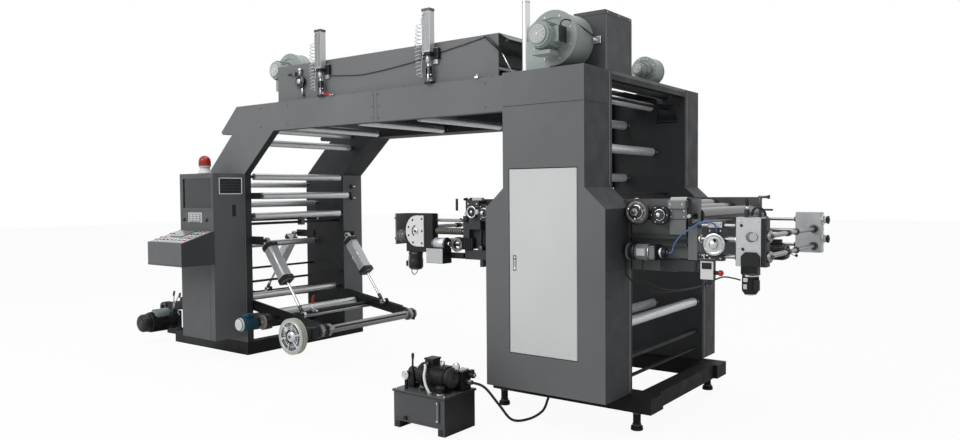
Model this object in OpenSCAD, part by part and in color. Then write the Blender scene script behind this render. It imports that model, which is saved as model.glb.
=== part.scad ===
// Stack printing press for wide webs: print tower, overhead bridge with a dryer,
// two-station unwind stand, control cabinet and a separate hydraulic power unit.
// Millimetres. X runs along the web, Y across it away from the operator, Z up.
// The origin lies on the floor under the round foot at the tower's outer front corner.

/* [Tower] */
// Length of the tower's lower part along the web
tower_l = 940; // [880:10:1040]
// Depth of the operator-side cover
cover_d = 360; // [320:5:360]
// Depth of the far-side cover
cover_far_d = 259; // [220:1:300]
// Clear width between the tower's side plates
web_w = 1292; // [1200:2:1400]
// Thickness of the tower's side plates
plate_t = 28; // [20:1:35]
// Height from the wide lower part's top to the floor
lower_top = 1500; // [1480:5:1540]
// Height of the sloped shoulder
slope_h = 140; // [110:5:160]
// How far the upper part is set back at each end
setback = 150; // [130:5:170]
// Height of the tower
tower_h = 2435; // [2400:5:2500]
// Thickness of the cover sheets
sheet = 4; // [3:0.5:6]

/* [Tower base] */
// Height of the round feet
foot_h = 130; // [110:5:130]
// Radius of the round feet
foot_r = 40; // [30:1:50]
// Height of the base rails
rail_h = 105; // [90:1:115]
// Width of the base rails
rail_w = 200; // [160:5:210]

/* [Door] */
// Width of the front door
door_w = 530; // [480:5:560]
// Height of the front door
door_h = 1266; // [1200:2:1280]
// Height of the door's lower edge
door_z = 502; // [490:1:520]
// Thickness of the door
door_t = 16; // [14:1:20]
// Gap around the door
door_gap = 6; // [5:0.5:8]

/* [Rollers] */
// Radius of the idler rollers
idler_r = 34; // [28:1:36]
// Radius of the fixed shafts the idlers turn on
shaft_r = 10; // [8:1:12]
// Running clearance between a turning piece and its shaft
run_gap = 0.05; // [0.03:0.01:0.1]
// Distance from an idler's end to the side plate
end_gap = 45; // [35:1:60]
// Radius of the plate rolls
plate_r = 70; // [60:1:74]
// Radius of the ink rolls
ink_r = 60; // [50:1:64]
// Radius of the pan roll
pan_r = 50; // [40:1:60]

/* [Bridge] */
// Distance from the tower's lower part to the stand's columns
bridge_l = 3230; // [3000:10:3500]
// Height of the bridge beams
beam_h = 266; // [240:2:280]
// Distance from the beams' upper face up to the tower's top (negative: beams are higher)
beam_drop = -49; // [-60:1:-30]
// Thickness of the operator-side frame
near_t = 75; // [60:1:80]
// Height of the hot-air hood
hood_h = 331; // [300:1:350]
// Length of the hot-air hood
hood_l = 2580; // [2300:10:2600]

/* [Unwind stand] */
// Width of the stand's columns along the web
column_w = 620; // [580:5:660]
// Height of the straight part of the columns
column_top = 1815; // [1790:5:1840]
// Height of the stand's base frame
base_h = 130; // [110:5:140]
// Length of the stand's base frame
base_l = 1280; // [1200:10:1300]
// Radius of the unwind shafts
reel_r = 38; // [30:1:45]
// Depth of the swing arms
arm_d = 100; // [80:2:110]
// Thickness of the swing arms
arm_t = 22; // [18:1:26]
// Half width of the pneumatic cylinders
cyl_r = 57; // [50:1:58]
// Radius of the brake wheel
wheel_r = 160; // [130:2:180]

/* [Control cabinet] */
// Width of the cabinet
cab_w = 552; // [500:4:560]
// Height of the cabinet
cab_h = 1620; // [1580:5:1660]
// Height of the cabinet's lower edge
cab_z = 197; // [180:1:220]
// Depth of the control desk
desk_d = 352; // [300:4:380]

/* [Power unit] */
// Length of the oil tank
tank_l = 451; // [400:1:500]
// Width of the oil tank
tank_w = 330; // [300:2:360]
// Height of the oil tank
tank_h = 262; // [240:2:280]

/* [Hidden] */
$fn = 48;
slope_top = lower_top + slope_h;
up_h = tower_h - slope_top;      // height of the tower's upper part
foot_x = 40;                     // the feet stand this far outside the lower part
foot_y = cover_d + plate_t / 2 + 2;
yn = cover_d;                    // outer face of the near side plates
yni = yn + plate_t;              // inner face of the near side plate
yfi = yni + web_w;               // inner face of the far side plates
yfo = yfi + plate_t;
yend = yfo + cover_far_d;        // outer face of the far cover
mid_x = -tower_l / 2;            // middle of the tower along the web
up1 = -setback;                  // outer edge of the tower's upper part
up0 = -tower_l + setback;
z_rail = foot_h + rail_h;        // top of the base rails
z_cov = z_rail + 10;             // lower edge of the covers
rail_n = yn + plate_t / 2 - rail_w / 2 + 38;
rail_f = yfi + plate_t / 2 - rail_w / 2 - 40;
rail_x0 = -tower_l - 170;
rail_x1 = 170;
cx1 = -tower_l - bridge_l;       // outer edge of the stand's columns, tower side
cx0 = cx1 - column_w;
cmid = (cx0 + cx1) / 2;
syn = yn + near_t;               // inner face of the stand's near frame
beam_top = tower_h - beam_drop;
beam_z = beam_top - beam_h;
hood_x1 = -tower_l - 160;        // open end of the hood, tower side
hood_x0 = hood_x1 - hood_l;
hood_y0 = yn + 40;
hood_y1 = yfi - 30;
hood_z = beam_top + hood_h;
cab_x1 = cx1 - 8;
cab_x0 = cab_x1 - cab_w;
cab_top = cab_z + cab_h;
steel = [0.80, 0.81, 0.82];
black = [0.06, 0.06, 0.07];
grey = [0.25, 0.26, 0.27];
dark = [0.13, 0.14, 0.15];
pale = [0.62, 0.63, 0.63];
fan_grey = [0.55, 0.58, 0.57];

// Idlers as [x, z]: six in the stand, one low, two in its legs, three under the bridge
ST = [[cx1 - 14, 1787], [cx0 + 30, 1715], [cx1 + 110, 1594], [cx0 + 182, 1504],
  [cx1 - 22, 1391], [cx0 + 155, 1071]];
LOW = [cx1 - 121, 566];
UP = [[cx1 + 154, beam_z - 100], [cx1 + 156, beam_z + 30]];
BR = [[cx1 + 587, beam_z + 34], [-tower_l - 1735, beam_z + 28], [-tower_l - 1032, beam_z + 22]];
TW = [[up1 - 285, tower_h - 125], [up1 - 274, slope_top + up_h * 297 / 795], [-60, 712], [-410, 677],
  [up0 + 114, slope_top + up_h * 2 / 3], [up0 + 114, slope_top + up_h * 86 / 795]];
LIVE = concat(ST, [LOW], UP, BR);

// Print unit, drawn at the tower's outer side: rolls as [x, z]
PLATE_ROLL = [90, 1475];
INK_ROLL = [235, 1457];
PAN_ROLL = [440, 1450];
cheek_l = 470;                   // the cheeks reach this far out from the lower part
cheek_t = 26;
yci = yni + cheek_t;             // inner face of the near cheeks
ycf = yfi - cheek_t;
block_x0 = 723;                  // sliding end blocks
block_x1 = 903;
block_z0 = 1148;
block_z1 = 1444;
block_yn = yn - 40;
block_t = 70;
guide_z = [1200, 1392];          // heights of the guide rods

// Unwind station on the tower side, as [x, z]; the other one mirrors it about the columns
ARM = [cx1 - 80, 500];
REEL = [cx1 + 1020, 340];
PIN = [cx1 + 670, 450];
HANG = [cx1 + 140, 1150];
ARM_IDLER = [cx1 + 216, 430];
ya0 = syn + 12;                  // near swing arm
ya1 = yfi - 12;                  // outer face of the far swing arm

// Shared shapes
module at_foot() translate([-foot_x, -foot_y, 0]) children();
module xz(y0, y1) translate([0, y1, 0]) rotate([90, 0, 0]) linear_extrude(y1 - y0) children();
module yz(x0, x1) translate([x0, 0, 0]) rotate([90, 0, 90]) linear_extrude(x1 - x0) children();
module rod_y(x, z, r, y0, y1) translate([x, y0, z]) rotate([-90, 0, 0]) cylinder(r = r, h = y1 - y0);
module rod_x(y, z, r, x0, x1) translate([x0, y, z]) rotate([0, 90, 0]) cylinder(r = r, h = x1 - x0);
module rod_z(x, y, r, z0, z1) translate([x, y, z0]) cylinder(r = r, h = z1 - z0);
module lathe_y(x, y0, z) translate([x, y0, z]) rotate([-90, 0, 0]) rotate_extrude() children();
module box(x0, x1, y0, y1, z0, z1) translate([x0, y0, z0]) cube([x1 - x0, y1 - y0, z1 - z0]);
module ring_y(x, z, r1, r0, y0, y1) difference() {
  rod_y(x, z, r1, y0, y1);
  rod_y(x, z, r0, y0 - 1, y1 + 1);
}
// The tower and its print units are alike about the tower's middle
module other_end() translate([2 * mid_x, 0, 0]) mirror([1, 0, 0]) children();
module both_ends() { children(); other_end() children(); }
module other_station() translate([2 * cmid, 0, 0]) mirror([1, 0, 0]) children();
module both_stations() { children(); other_station() children(); }

// Side outline of the tower, shrunk by s on every edge but the lower one
module tower_outline(z0, s) {
  k = s * (norm([setback, slope_h]) - slope_h) / setback;
  polygon([[-tower_l + s, z0], [-s, z0], [-s, lower_top - k], [up1 - s, slope_top - k],
    [up1 - s, tower_h - s], [up0 + s, tower_h - s], [up0 + s, slope_top - k],
    [-tower_l + s, lower_top - k]]);
}

// Hollow covers, open towards the side plates; the near one has the door's opening,
// a door frame with its stop, and the pivot pins at the door's hinge edge
module tower_covers() color(grey) at_foot() {
  x0 = mid_x - door_w / 2 - door_gap;
  x1 = mid_x + door_w / 2 + door_gap;
  z0 = door_z - door_gap;
  z1 = door_z + door_h + door_gap;
  difference() {
    union() {
      difference() {
        xz(0, yn) tower_outline(z_cov, 0);
        xz(sheet, yn + 1) intersection() {
          tower_outline(z_cov, sheet);
          translate([-tower_l, z_cov + sheet]) square([tower_l, tower_h]);
        }
      }
      difference() {
        box(x0 - 14, x1 + 14, 0, door_t + 24, z0 - 14, z1 + 14);
        box(x0 + 12, x1 - 12, -1, door_t + 30, z0 + 12, z1 - 12);
      }
    }
    box(x0, x1, -1, door_t + door_gap, z0, z1);
  }
  for (z = [z0 - 8, z1 - 32]) rod_z(x1 - door_gap - door_t / 2, door_t / 2, 5, z, z + 40);
  difference() {
    xz(yfo, yend) tower_outline(z_cov, 0);
    xz(yfo - 1, yend - sheet) intersection() {
      tower_outline(z_cov, sheet);
      translate([-tower_l, z_cov + sheet]) square([tower_l, tower_h]);
    }
  }
}

// Side plates; the far one has a service window near its top
module tower_plates() color(grey) at_foot() {
  xz(yn, yni) tower_outline(z_rail, 0);
  difference() {
    xz(yfi, yfo) tower_outline(z_rail, 0);
    box(up1 - 250, up1 - 80, yfi - 1, yfo + 1, tower_h - 260, tower_h - 120);
  }
}

module tower_base() color(black) at_foot() {
  for (y = [rail_n, rail_f]) box(rail_x0, rail_x1, y, y + rail_w, foot_h, z_rail);
  for (x = [rail_x0 + 30, rail_x1 - 150])
    box(x, x + 120, rail_n + rail_w, rail_f, foot_h, z_rail);
  for (x = [rail_x0 + 60, foot_x], y = [foot_y, yfi + plate_t / 2]) {
    rod_z(x, y, foot_r, 0, 26);
    rod_z(x, y, foot_r - 14, 26, foot_h);
  }
  ring_y(hose_x, 172, hose_r + 8, hose_r + 0.1, rail_n - 13, rail_n);
}

// Ties across the tower and the bridge
module cross_ties() color(grey) at_foot() {
  for (x = [up1 - 60, up0]) difference() {
    box(x, x + 60, yni, yfi, tower_h - 60, tower_h);
    box(x + 8, x + 52, yni - 1, yfi + 1, tower_h - 61, tower_h - 8);
  }
  box(up1 - 210, up1 - 150, yni, yfi, tower_h - 60, tower_h);
  for (x = [-90, -tower_l + 40]) box(x, x + 50, yni, yfi, 460, 484);
  box(-70, -40, yni, yfi, 330, 342);
  for (x = [cx1 + 350, -tower_l - 1300, -tower_l - 400])
    box(x, x + 60, syn, yfi, beam_top - 90, beam_top - 30);
  box(cx0 + 20, cx0 + 80, syn, yfi, base_h, base_h + 60);
}

module door() color(pale) at_foot() difference() {
  hx = mid_x + door_w / 2 - door_t / 2;
  union() {
    box(mid_x - door_w / 2, hx, 0, door_t, door_z, door_z + door_h);
    rod_z(hx, door_t / 2, door_t / 2, door_z, door_z + door_h);
  }
  for (z = [door_z - 1, door_z + door_h - 40]) rod_z(hx, door_t / 2, 5 + run_gap, z, z + 41);
  box(mid_x - door_w / 2 + 26, mid_x - door_w / 2 + 54, -1, 7, 1070, 1176);
}

// Heater box on the tower, with its seam frame
module heater() color(grey) at_foot() {
  box(up1 - 246, up1 - 4, yn - 60, yn + 340, tower_h, tower_h + 400);
}

// Centrifugal fan: scroll with an outlet down one side, inlet ring and a motor
module fan(x, z, fan_r, y0, w, m, zb) {
  k = fan_r / 180;
  difference() {
    union() {
      rod_y(x, z, fan_r, y0, y0 + w);
      box(x - fan_r - 28 * k, x - 20, y0, y0 + w, zb, z);
      rod_y(x, z, fan_r + 6, y0, y0 + 8);
      rod_y(x, z, fan_r + 6, y0 + w - 8, y0 + w);
    }
    rod_y(x, z, 135 * k, y0 - 1, y0 + 6);
  }
  rod_y(x, z, 104 * k, y0 - 14, y0 + 6);
  rod_y(x, z, 88 * k, y0 - m + 30, y0 - 14);
  rod_y(x, z, 80 * k, y0 - m + 10, y0 - m + 30);
  rod_y(x, z, 64 * k, y0 - m, y0 - m + 10);
  box(x + 70 * k, x + 118 * k, y0 - m + 70, y0 - 22, z - 50 * k, z + 50 * k);
}
module blowers() color(fan_grey) at_foot() {
  fan(up1 - 277, tower_h + 205, 180, yn - 290, 230, 190, tower_h);
  // the second fan stands on the ties, between the side plates
  fan(up1 - 140, tower_h + 112, 100, yni + 810, 150, 120, tower_h);
  // the third one hangs on the hood's end and blows into it
  x = hood_x0 - 186;
  z = hood_z + 10;
  y = hood_y0 + 290;
  fan(x, z, 180, y, 140, 190, z - 172);
  box(x, hood_x0, y + 12, y + 128, z - 176, z - 60);
}

module mast() color(steel) at_foot() {
  rod_z(up0 + 68, yn - 160, 29, tower_h, tower_h + 520);
  rod_z(up0 + 68, yn - 160, 44, tower_h, tower_h + 10);
}

// Side outline of the bridge and stand, one piece from the base to the tower
module bridge_outline() polygon([[cx1, base_h], [cx1, column_top], [cx1 + 460, beam_z],
  [up0, beam_z], [up0, beam_top], [cx1 - 110, beam_top], [cx1 - 367, beam_z + 27],
  [cx1 - 350, beam_z], [cx1 - 184, beam_z], [cx0, column_top], [cx0, base_h]]);

module bridge_near() color(grey) at_foot() xz(yn, syn) bridge_outline();
module bridge_far() color(grey) at_foot() difference() {
  xz(yfi, yend) bridge_outline();
  // open back, behind a sheet that carries the shafts
  box(cx0 + 12, cx1 - 12, yfi + 24, yend - 6, base_h + 30, column_top - 20);
  box(cx1 + 500, up0 - 12, yfi + 24, yend - 6, beam_z + 8, beam_top - 8);
}

module stand_base() color(black) at_foot() {
  box(cx1 - base_l, cx1, yn, yn + 110, 0, base_h);
  box(cx1 - base_l, cx1, yend - 110, yend, 0, base_h);
  for (x = [cx1 - base_l, cx1 - 110]) box(x, x + 110, yn + 110, yend - 110, 0, base_h);
}

// Cabinet with a recessed instrument window and a louvre window on its tower side
module cabinet() color(grey) at_foot() difference() {
  box(cab_x0, cab_x1, 0, yn, cab_z, cab_top);
  box(cab_x0 + 50, cab_x1 - 24, -1, 14, cab_top - 340, cab_top - 46);
  box(cab_x0 + 34, cab_x1 - 30, -1, 5, cab_top - 560, cab_top - 372);
  box(cab_x1 - 8, cab_x1 + 1, 75, 322, cab_top - 196, cab_top - 50);
}

// Control desk: sloped panel top on a closed box, and the frame of the touch panel
module desk() color(grey) at_foot() {
  yz(cab_x0 - 8, cab_x1 + 8) polygon([[-desk_d, 940], [-desk_d, 1157], [0, 1262], [0, 940]]);
}

module beacon() color([0.8, 0.1, 0.05]) at_foot() translate([cab_x1 - 272, 100, cab_top]) {
  rotate_extrude() polygon([[0, 0], [62, 0], [62, 10], [54, 22], [47, 34], [46, 66], [0, 66]]);
  translate([0, 0, 66]) cylinder(r = 57, h = 56);
  translate([0, 0, 122]) intersection() { sphere(r = 57); translate([-60, -60, 0]) cube(120); }
}

// Drive motor beside the stand: finned body, fan cowl, raised hump and a mounting plate
module drive_motor() color([0.2, 0.25, 0.25]) at_foot() {
  x = cx1 - base_l - 150;
  rod_y(x, 225, 100, 140, yn + 65);
  rod_y(x, 225, 90, 60, 140);
  rod_y(x, 225, 78, 48, 60);
  rod_y(x + 25, 300, 62, 190, yn - 10);
  box(x - 120, cx1 - base_l, yn + 65, yn + 80, 60, 330);
}

tank_x1 = -tower_l + 34;
tank_y1 = -190;
hose_r = 11;
hose_x = tank_x1 + 317;           // where the hose meets the base rail
module power_tank() color(dark) at_foot() difference() {
  union() {
    box(tank_x1 - tank_l, tank_x1, tank_y1 - tank_w, tank_y1, 0, tank_h - 10);
    box(tank_x1 - tank_l - 8, tank_x1 + 8, tank_y1 - tank_w - 8, tank_y1 + 8, tank_h - 10, tank_h);
  }
  box(tank_x1 - tank_l + 55, tank_x1 - 55, tank_y1 - tank_w - 1, tank_y1 + 1, -1, 48);
}

// Pump set on the tank: motor lying along the web, pump head, valve block, gauges, cap
module power_pump() color(black) at_foot() {
  xm = tank_x1 - tank_l / 2;
  ym = tank_y1 - tank_w / 2 - 20;
  zm = tank_h + 95;
  rod_x(ym, zm, 80, xm - 70, xm + 150);
  rod_x(ym, zm, 72, xm + 150, xm + 178);
  rod_x(ym, zm, 56, xm - 110, xm - 70);
  box(xm - 40, xm + 110, ym - 60, ym + 60, tank_h, zm - 60);
  box(xm - 30, xm + 40, ym - 40, ym + 40, zm + 60, zm + 118);
  rod_x(ym, zm, 40, xm - 190, xm - 110);
  box(xm - 180, xm - 125, ym - 50, ym + 10, tank_h, zm + 10);
  box(tank_x1 - 80, tank_x1 - 10, tank_y1 - 130, tank_y1 - 30, tank_h, tank_h + 130);
  difference() {
    rod_x(-280, 325, hose_r + 8, tank_x1 - 10, tank_x1 + 14);
    rod_x(-280, 325, hose_r + 0.1, tank_x1 - 9.9, tank_x1 + 15);
  }
  rod_z(tank_x1 - 80, tank_y1 - tank_w + 55, 24, tank_h, tank_h + 34);
  rod_z(xm - 150, tank_y1 - tank_w + 45, 12, tank_h, tank_h + 70);
  rod_y(xm - 150, tank_h + 96, 28, tank_y1 - tank_w + 32, tank_y1 - tank_w + 58);
}

// Hot-air hood: a shell open below and at its tower end
module dryer() color(grey) at_foot() difference() {
  box(hood_x0, hood_x1, hood_y0, hood_y1, beam_top, hood_z);
  box(hood_x0 + sheet, hood_x1 + 1, hood_y0 + sheet, hood_y1 - sheet, beam_top - 1, hood_z - sheet);
}

// Lift cylinders of the hood, on brackets at its front, with rods down to the beam
lift_x = [hood_x0 + 654, hood_x1 - 654];
module lifters() color(steel) at_foot() for (x = lift_x) {
  y = hood_y0 - 52;
  z = beam_top + 230;
  box(x - 42, x + 42, y - 32, y + 32, z, z + 22);
  box(x - 40, x - 2, y - 30, y + 30, z + 22, z + 345);
  box(x + 2, x + 40, y - 30, y + 30, z + 22, z + 345);
  box(x - 42, x + 42, y - 32, y + 32, z + 345, z + 360);
  box(x + 20, x + 70, y + 32, hood_y0, z - 70, z + 60);
  rod_z(x, y + 24, 9, beam_top, z);
  rod_z(x, y + 24, 24, beam_top, beam_top + 34);
}

// A closed tube that turns on a plain fixed shaft, and the fixed shafts with their collars
module idler(p, y0, y1) color(steel) at_foot() difference() {
  rod_y(p[0], p[1], idler_r, y0, y1);
  rod_y(p[0], p[1], idler_r - 5, y0 + 12, y1 - 12);
  rod_y(p[0], p[1], shaft_r + run_gap, y0 - 1, y1 + 1);
}
module shaft(p, y0, y1, c) {
  rod_y(p[0], p[1], shaft_r, y0, y1);
  rod_y(p[0], p[1], shaft_r + 6, y0, y0 + c);
  rod_y(p[0], p[1], shaft_r + 6, y1 - c, y1);
}
module shafts() color(black) at_foot() {
  for (p = LIVE) {
    k = p == ST[2] ? 12 : 0;     // this one hangs between two brackets
    shaft(p, syn + k, yfi - k, 14);
  }
  for (p = TW) shaft(p, yni, yfi, 12);
  // brackets and pins of the swing arms and their cylinders
  both_stations() {
    for (y = [syn, yfi - 12])
      box(cx1 - 130, HANG[0] + 30, y, y + 12, HANG[1] - 40, HANG[1] + 40);
    rod_y(HANG[0], HANG[1], 14, syn + 12, yb[0] + 22);
    rod_y(HANG[0], HANG[1], 14, yb[1] - 22, yfi - 12);
    rod_y(ARM[0], ARM[1], 20, syn, ya0 + arm_t + 4);
    rod_y(ARM[0], ARM[1], 20, ya1 - arm_t - 4, yfi);
  }
  for (y = [syn, yfi - 12])
    box(cx1 - 70, ST[2][0] + 30, y, y + 12, ST[2][1] - 32, ST[2][1] + 32);
}

// Cheek plates of the print units, with bearing bores and end bosses for the guide rods
module cheeks() color(grey) at_foot() both_ends() for (y = [yni, ycf]) difference() {
  union() {
    box(-140, cheek_l, y, y + cheek_t, 1085, 1560);
    box(cheek_l - 60, cheek_l, y == yni ? yn - 18 : yfi, y == yni ? yn + 28 : yfi + 52, 1170, 1430);
  }
  for (b = [[PLATE_ROLL, 30], [INK_ROLL, 25], [PAN_ROLL, 20]])
    rod_y(b[0][0], b[0][1], b[1] + run_gap, y - 1, y + cheek_t + 1);
  translate([cheek_l - 150, y - 1, 1084]) cube([151, cheek_t + 2, 90]);
}

// Sliding end blocks; the far unit's pair is longer and has a flange with a stepped hub
module unit_blocks() color(pale) at_foot() {
  for (y = [block_yn, ycf]) {
    box(block_x0, block_x1, y, y + block_t, block_z0, block_z1);
    box(block_b0, block_b1, y, y + block_t, block_z0 - 14, block_z1);
  }
  rod_y(830, 1330, 24, block_yn - 12, block_yn);
  box(-tower_l - 1148, -tower_l - 1136, yn - 60, yn + 80, block_z0 + 42, block_z1);
  rod_x(yn - 4, 1258, 60, -tower_l - 1136, -tower_l - 1090);
  rod_x(yn - 4, 1258, 44, -tower_l - 1090, block_b0);
  for (z = [1390, 1250]) rod_x(ycf + 35, z, 26, block_x1, block_x1 + 30);
}
block_b0 = -tower_l - 1045;
block_b1 = -tower_l - 765;

// Guide rods along the web and tie rods across it
module unit_rods() color(steel) at_foot() {
  for (y = [yn + 10, ycf + 50]) {
    for (z = guide_z) {
      rod_x(y, z, 12, cheek_l, block_x0);
      rod_x(y, z, 12, block_b1, -tower_l - cheek_l);
    }
    rod_x(y, 1306, 17, cheek_l, block_x0);
    rod_x(y, 1306, 17, block_b1, -tower_l - cheek_l);
  }
  for (x = [block_x1 - 41, block_b0 + 60], z = [1200, 1326]) {
    rod_y(x, z, 16, block_yn + block_t, ycf);
    rod_y(x, z, 26, block_yn + block_t, block_yn + block_t + 36);
    rod_y(x, z, 26, ycf - 36, ycf);
  }
}

module unit_motors() color(black) at_foot() {
  // under the near block: gearbox and motor standing on end
  translate([801, block_yn + 34, 1106]) rotate(30) cylinder(r = 58, h = block_z0 - 1106, $fn = 6);
  rod_z(801, block_yn + 34, 46, 990, 1106);
  rod_z(801, block_yn + 34, 38, 980, 990);
  // stepper lying along the web, with its coupling housing and bracket
  rod_x(276, 1216, 50, 40, 190);
  box(190, 236, 226, 326, 1166, 1266);
  rod_x(276, 1216, 30, 236, 292);
  box(60, 206, 318, yni, 1178, 1240);
  // far side: motor on the cheek's end
  rod_x(ycf - 60, 1150, 60, cheek_l + 60, cheek_l + 200);
  box(cheek_l, cheek_l + 60, ycf - 120, ycf + 20, 1176, 1226);
  rod_x(ycf - 60, 1150, 34, cheek_l + 10, cheek_l + 60);
  // the other unit: hanging motor, lying motor and gearbox
  rod_z(block_b0 + 72, block_yn + 35, 56, 1000, block_z0 - 14);
  rod_x(yn - 70, 1211, 44, block_b1 + 56, block_b1 + 182);
  box(block_b1, block_b1 + 172, yn - 118, yn - 12, 1057, 1176);
  box(block_b1 + 160, -tower_l - 462, yn - 30, yn + 12, 1096, 1140);
}

// Plates, slides, bearing caps, air unit and handles of the print units
module unit_fittings() color(pale) at_foot() {
  both_ends() {
    box(290, 404, 332, yni, 1326, 1500);
    box(290, 404, 306, yni, 1500, 1548);
    rod_x(yni - 26, 1548, 24, 290, 404);
    box(218, 462, 352, yni, 1092, 1166);
  }
  for (z = [1250, 1300]) box(6, 404, 340, yni, z, z + 26);
  difference() {
    union() {
      box(540, 632, 342, 402, 1172, 1420);
      rod_y(586, 1276, 66, 318, 342);
      rod_y(586, 1276, 24, 300, 318);
    }
    for (z = [guide_z[0], guide_z[1], 1306]) rod_x(yn + 10, z, z == 1306 ? 17.05 : 12.05, 539, 633);
  }
  box(499, 577, 328, 378, 1056, 1166);
  rod_z(538, 353, 24, 1020, 1056);
  box(462, 499, 356, 376, 1110, 1150);
  // handles on the near block
  rod_z(778, block_yn + 35, 16, block_z1, block_z1 + 50);
  rod_z(856, block_yn + 35, 8, block_z1, block_z1 + 52);
  box(848, 930, block_yn + 28, block_yn + 42, block_z1 + 44, block_z1 + 56);
  // ring and bracket on the other unit
  ring_y(-tower_l - 523, 1202, 50, 30, 326, 350);
  box(-tower_l - 500, -tower_l - 470, 326, 346, 1180, 1226);
  box(-tower_l - 306, -tower_l - 276, 340, yni, 1040, 1092);
}

// A roll with journals that turn in the cheeks
module roll(p, r, j, y0) {
  rod_y(p[0], p[1], r, yci + 6, ycf - 6);
  rod_y(p[0], p[1], j, y0, yfi - 2);
}
module plate_roll_shape() {
  roll(PLATE_ROLL, plate_r, 30, 246);
  rod_y(PLATE_ROLL[0], PLATE_ROLL[1], 84, 258, 288);
  rod_y(PLATE_ROLL[0], PLATE_ROLL[1], 44, 234, 246);
}
module ink_roll_shape() {
  roll(INK_ROLL, ink_r, 25, 282);
  ring_y(INK_ROLL[0], INK_ROLL[1], 64, 24, 296, 316);
  rod_y(INK_ROLL[0], INK_ROLL[1], 30, 276, 300);
}
module plate_roll() color(steel) at_foot() plate_roll_shape();
module ink_roll() color(steel) at_foot() ink_roll_shape();
module plate_roll_b() color(steel) at_foot() other_end() plate_roll_shape();
module ink_roll_b() color(steel) at_foot() other_end() ink_roll_shape();
module pan_roll() color(steel) at_foot() roll(PAN_ROLL, pan_r, 20, yni + 2);

// Swing arm outline in the X-Z plane, with its bores
arm_v = REEL - ARM;
arm_a = atan2(arm_v[1], arm_v[0]);
module arm_outline() difference() {
  union() {
    translate(ARM) rotate(arm_a) translate([0, -arm_d / 2]) square([norm(arm_v) + 60, arm_d]);
    translate(ARM) circle(r = arm_d / 2);
    translate(REEL) circle(r = arm_d / 2 + 10);
    translate([PIN[0] - 30, PIN[1] - 70]) square([60, 70]);
    translate(PIN) circle(r = 30);
  }
  translate(ARM) circle(r = 20 + run_gap);
  translate(REEL) circle(r = 25 + run_gap);
}
module arms_shape() {
  xz(ya0, ya0 + arm_t) arm_outline();
  xz(ya1 - arm_t, ya1) arm_outline();
  rod_y(PIN[0] - 280, PIN[1] - 46, 24, ya0 + arm_t, ya1 - arm_t);
  shaft(ARM_IDLER, ya0 + arm_t, ya1 - arm_t, 10);
  rod_y(PIN[0], PIN[1], 10, ya0 + arm_t, ya0 + arm_t + 60);
  rod_y(PIN[0], PIN[1], 10, ya1 - arm_t - 60, ya1 - arm_t);
}
module arms() color(dark) at_foot() arms_shape();
module arms_back() color(dark) at_foot() {
  other_station() arms_shape();
  // the second unwind shaft stays clamped in its arms
  other_station() reel_shape(ya0 + arm_t);
}

// Geared motor carried by the near arm: cap, body, gear housing and bracket
module stand_drive() color([0.16, 0.34, 0.36]) at_foot() {
  x = PIN[0] - 330;
  z = PIN[1] - 62;
  rod_y(x, z, 60, 10, 70);
  rod_y(x, z, 64, 70, 180);
  rod_y(x, z, 50, 180, 236);
  box(x - 56, x + 90, 236, 330, z - 66, z + 60);
  rod_y(x + 60, z, 74, 250, 306);
  box(x - 40, x + 40, 330, ya0, z - 34, z + 34);
}

// Unwind shaft with its chucks
module reel_shape(y0) {
  rod_y(REEL[0], REEL[1], reel_r, ya0 + arm_t + 6, ya1 - arm_t - 6);
  rod_y(REEL[0], REEL[1], reel_r + 22, ya0 + arm_t + 6, ya0 + arm_t + 46);
  rod_y(REEL[0], REEL[1], reel_r + 22, ya1 - arm_t - 46, ya1 - arm_t - 6);
  rod_y(REEL[0], REEL[1], 25, y0, ya1 + 40);
}
module reel() color([0.3, 0.33, 0.36]) at_foot() {
  reel_shape(52);
  rod_y(REEL[0], REEL[1], 44, 210, 330);
  rod_y(REEL[0], REEL[1], 56, 330, ya0 - 24);
  rod_y(REEL[0], REEL[1], 48, ya1 + 12, ya1 + 40);
}
// Brake wheel, turned in one: grooved rim, web and domed hub, with spokes and cooling fins
wheel_fins = 24;
module brake_wheel() color([0.6, 0.64, 0.58]) at_foot() {
  w = wheel_r;
  lathe_y(REEL[0], 60, REEL[1]) polygon([[25, -6], [34, -6], [44, 0], [54, 12], [54, 36],
    [w - 22, 36], [w - 22, 0], [w, 0], [w, 14], [w - 6, 16], [w - 6, 20], [w, 22], [w, 38],
    [w - 6, 40], [w - 6, 44], [w, 46], [w, 60], [w - 22, 60], [w - 22, 48], [54, 48],
    [54, 58], [25, 58]]);
  for (k = [0:wheel_fins - 1]) translate([REEL[0], 0, REEL[1]])
    rotate([0, k * 360 / wheel_fins, 0])
      if (k % 4 == 0) box(46, w - 16, 75, 99, -7, 7);
      else box(64, w - 16, 80, 99, -2, 2);
}

// Pneumatic cylinders, drawn hanging down and then swung out to their pins
hang_v = PIN - HANG;
hang_l = norm(hang_v);
hang_a = atan2(hang_v[0], -hang_v[1]);
rod_r = 14;
yb = [ya0 + arm_t + 41, ya1 - arm_t - 41];
module swung(y) translate([HANG[0], y, HANG[1]]) rotate([0, -hang_a, 0]) children();
module lie() rotate([90, 0, 0]) children();
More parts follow.
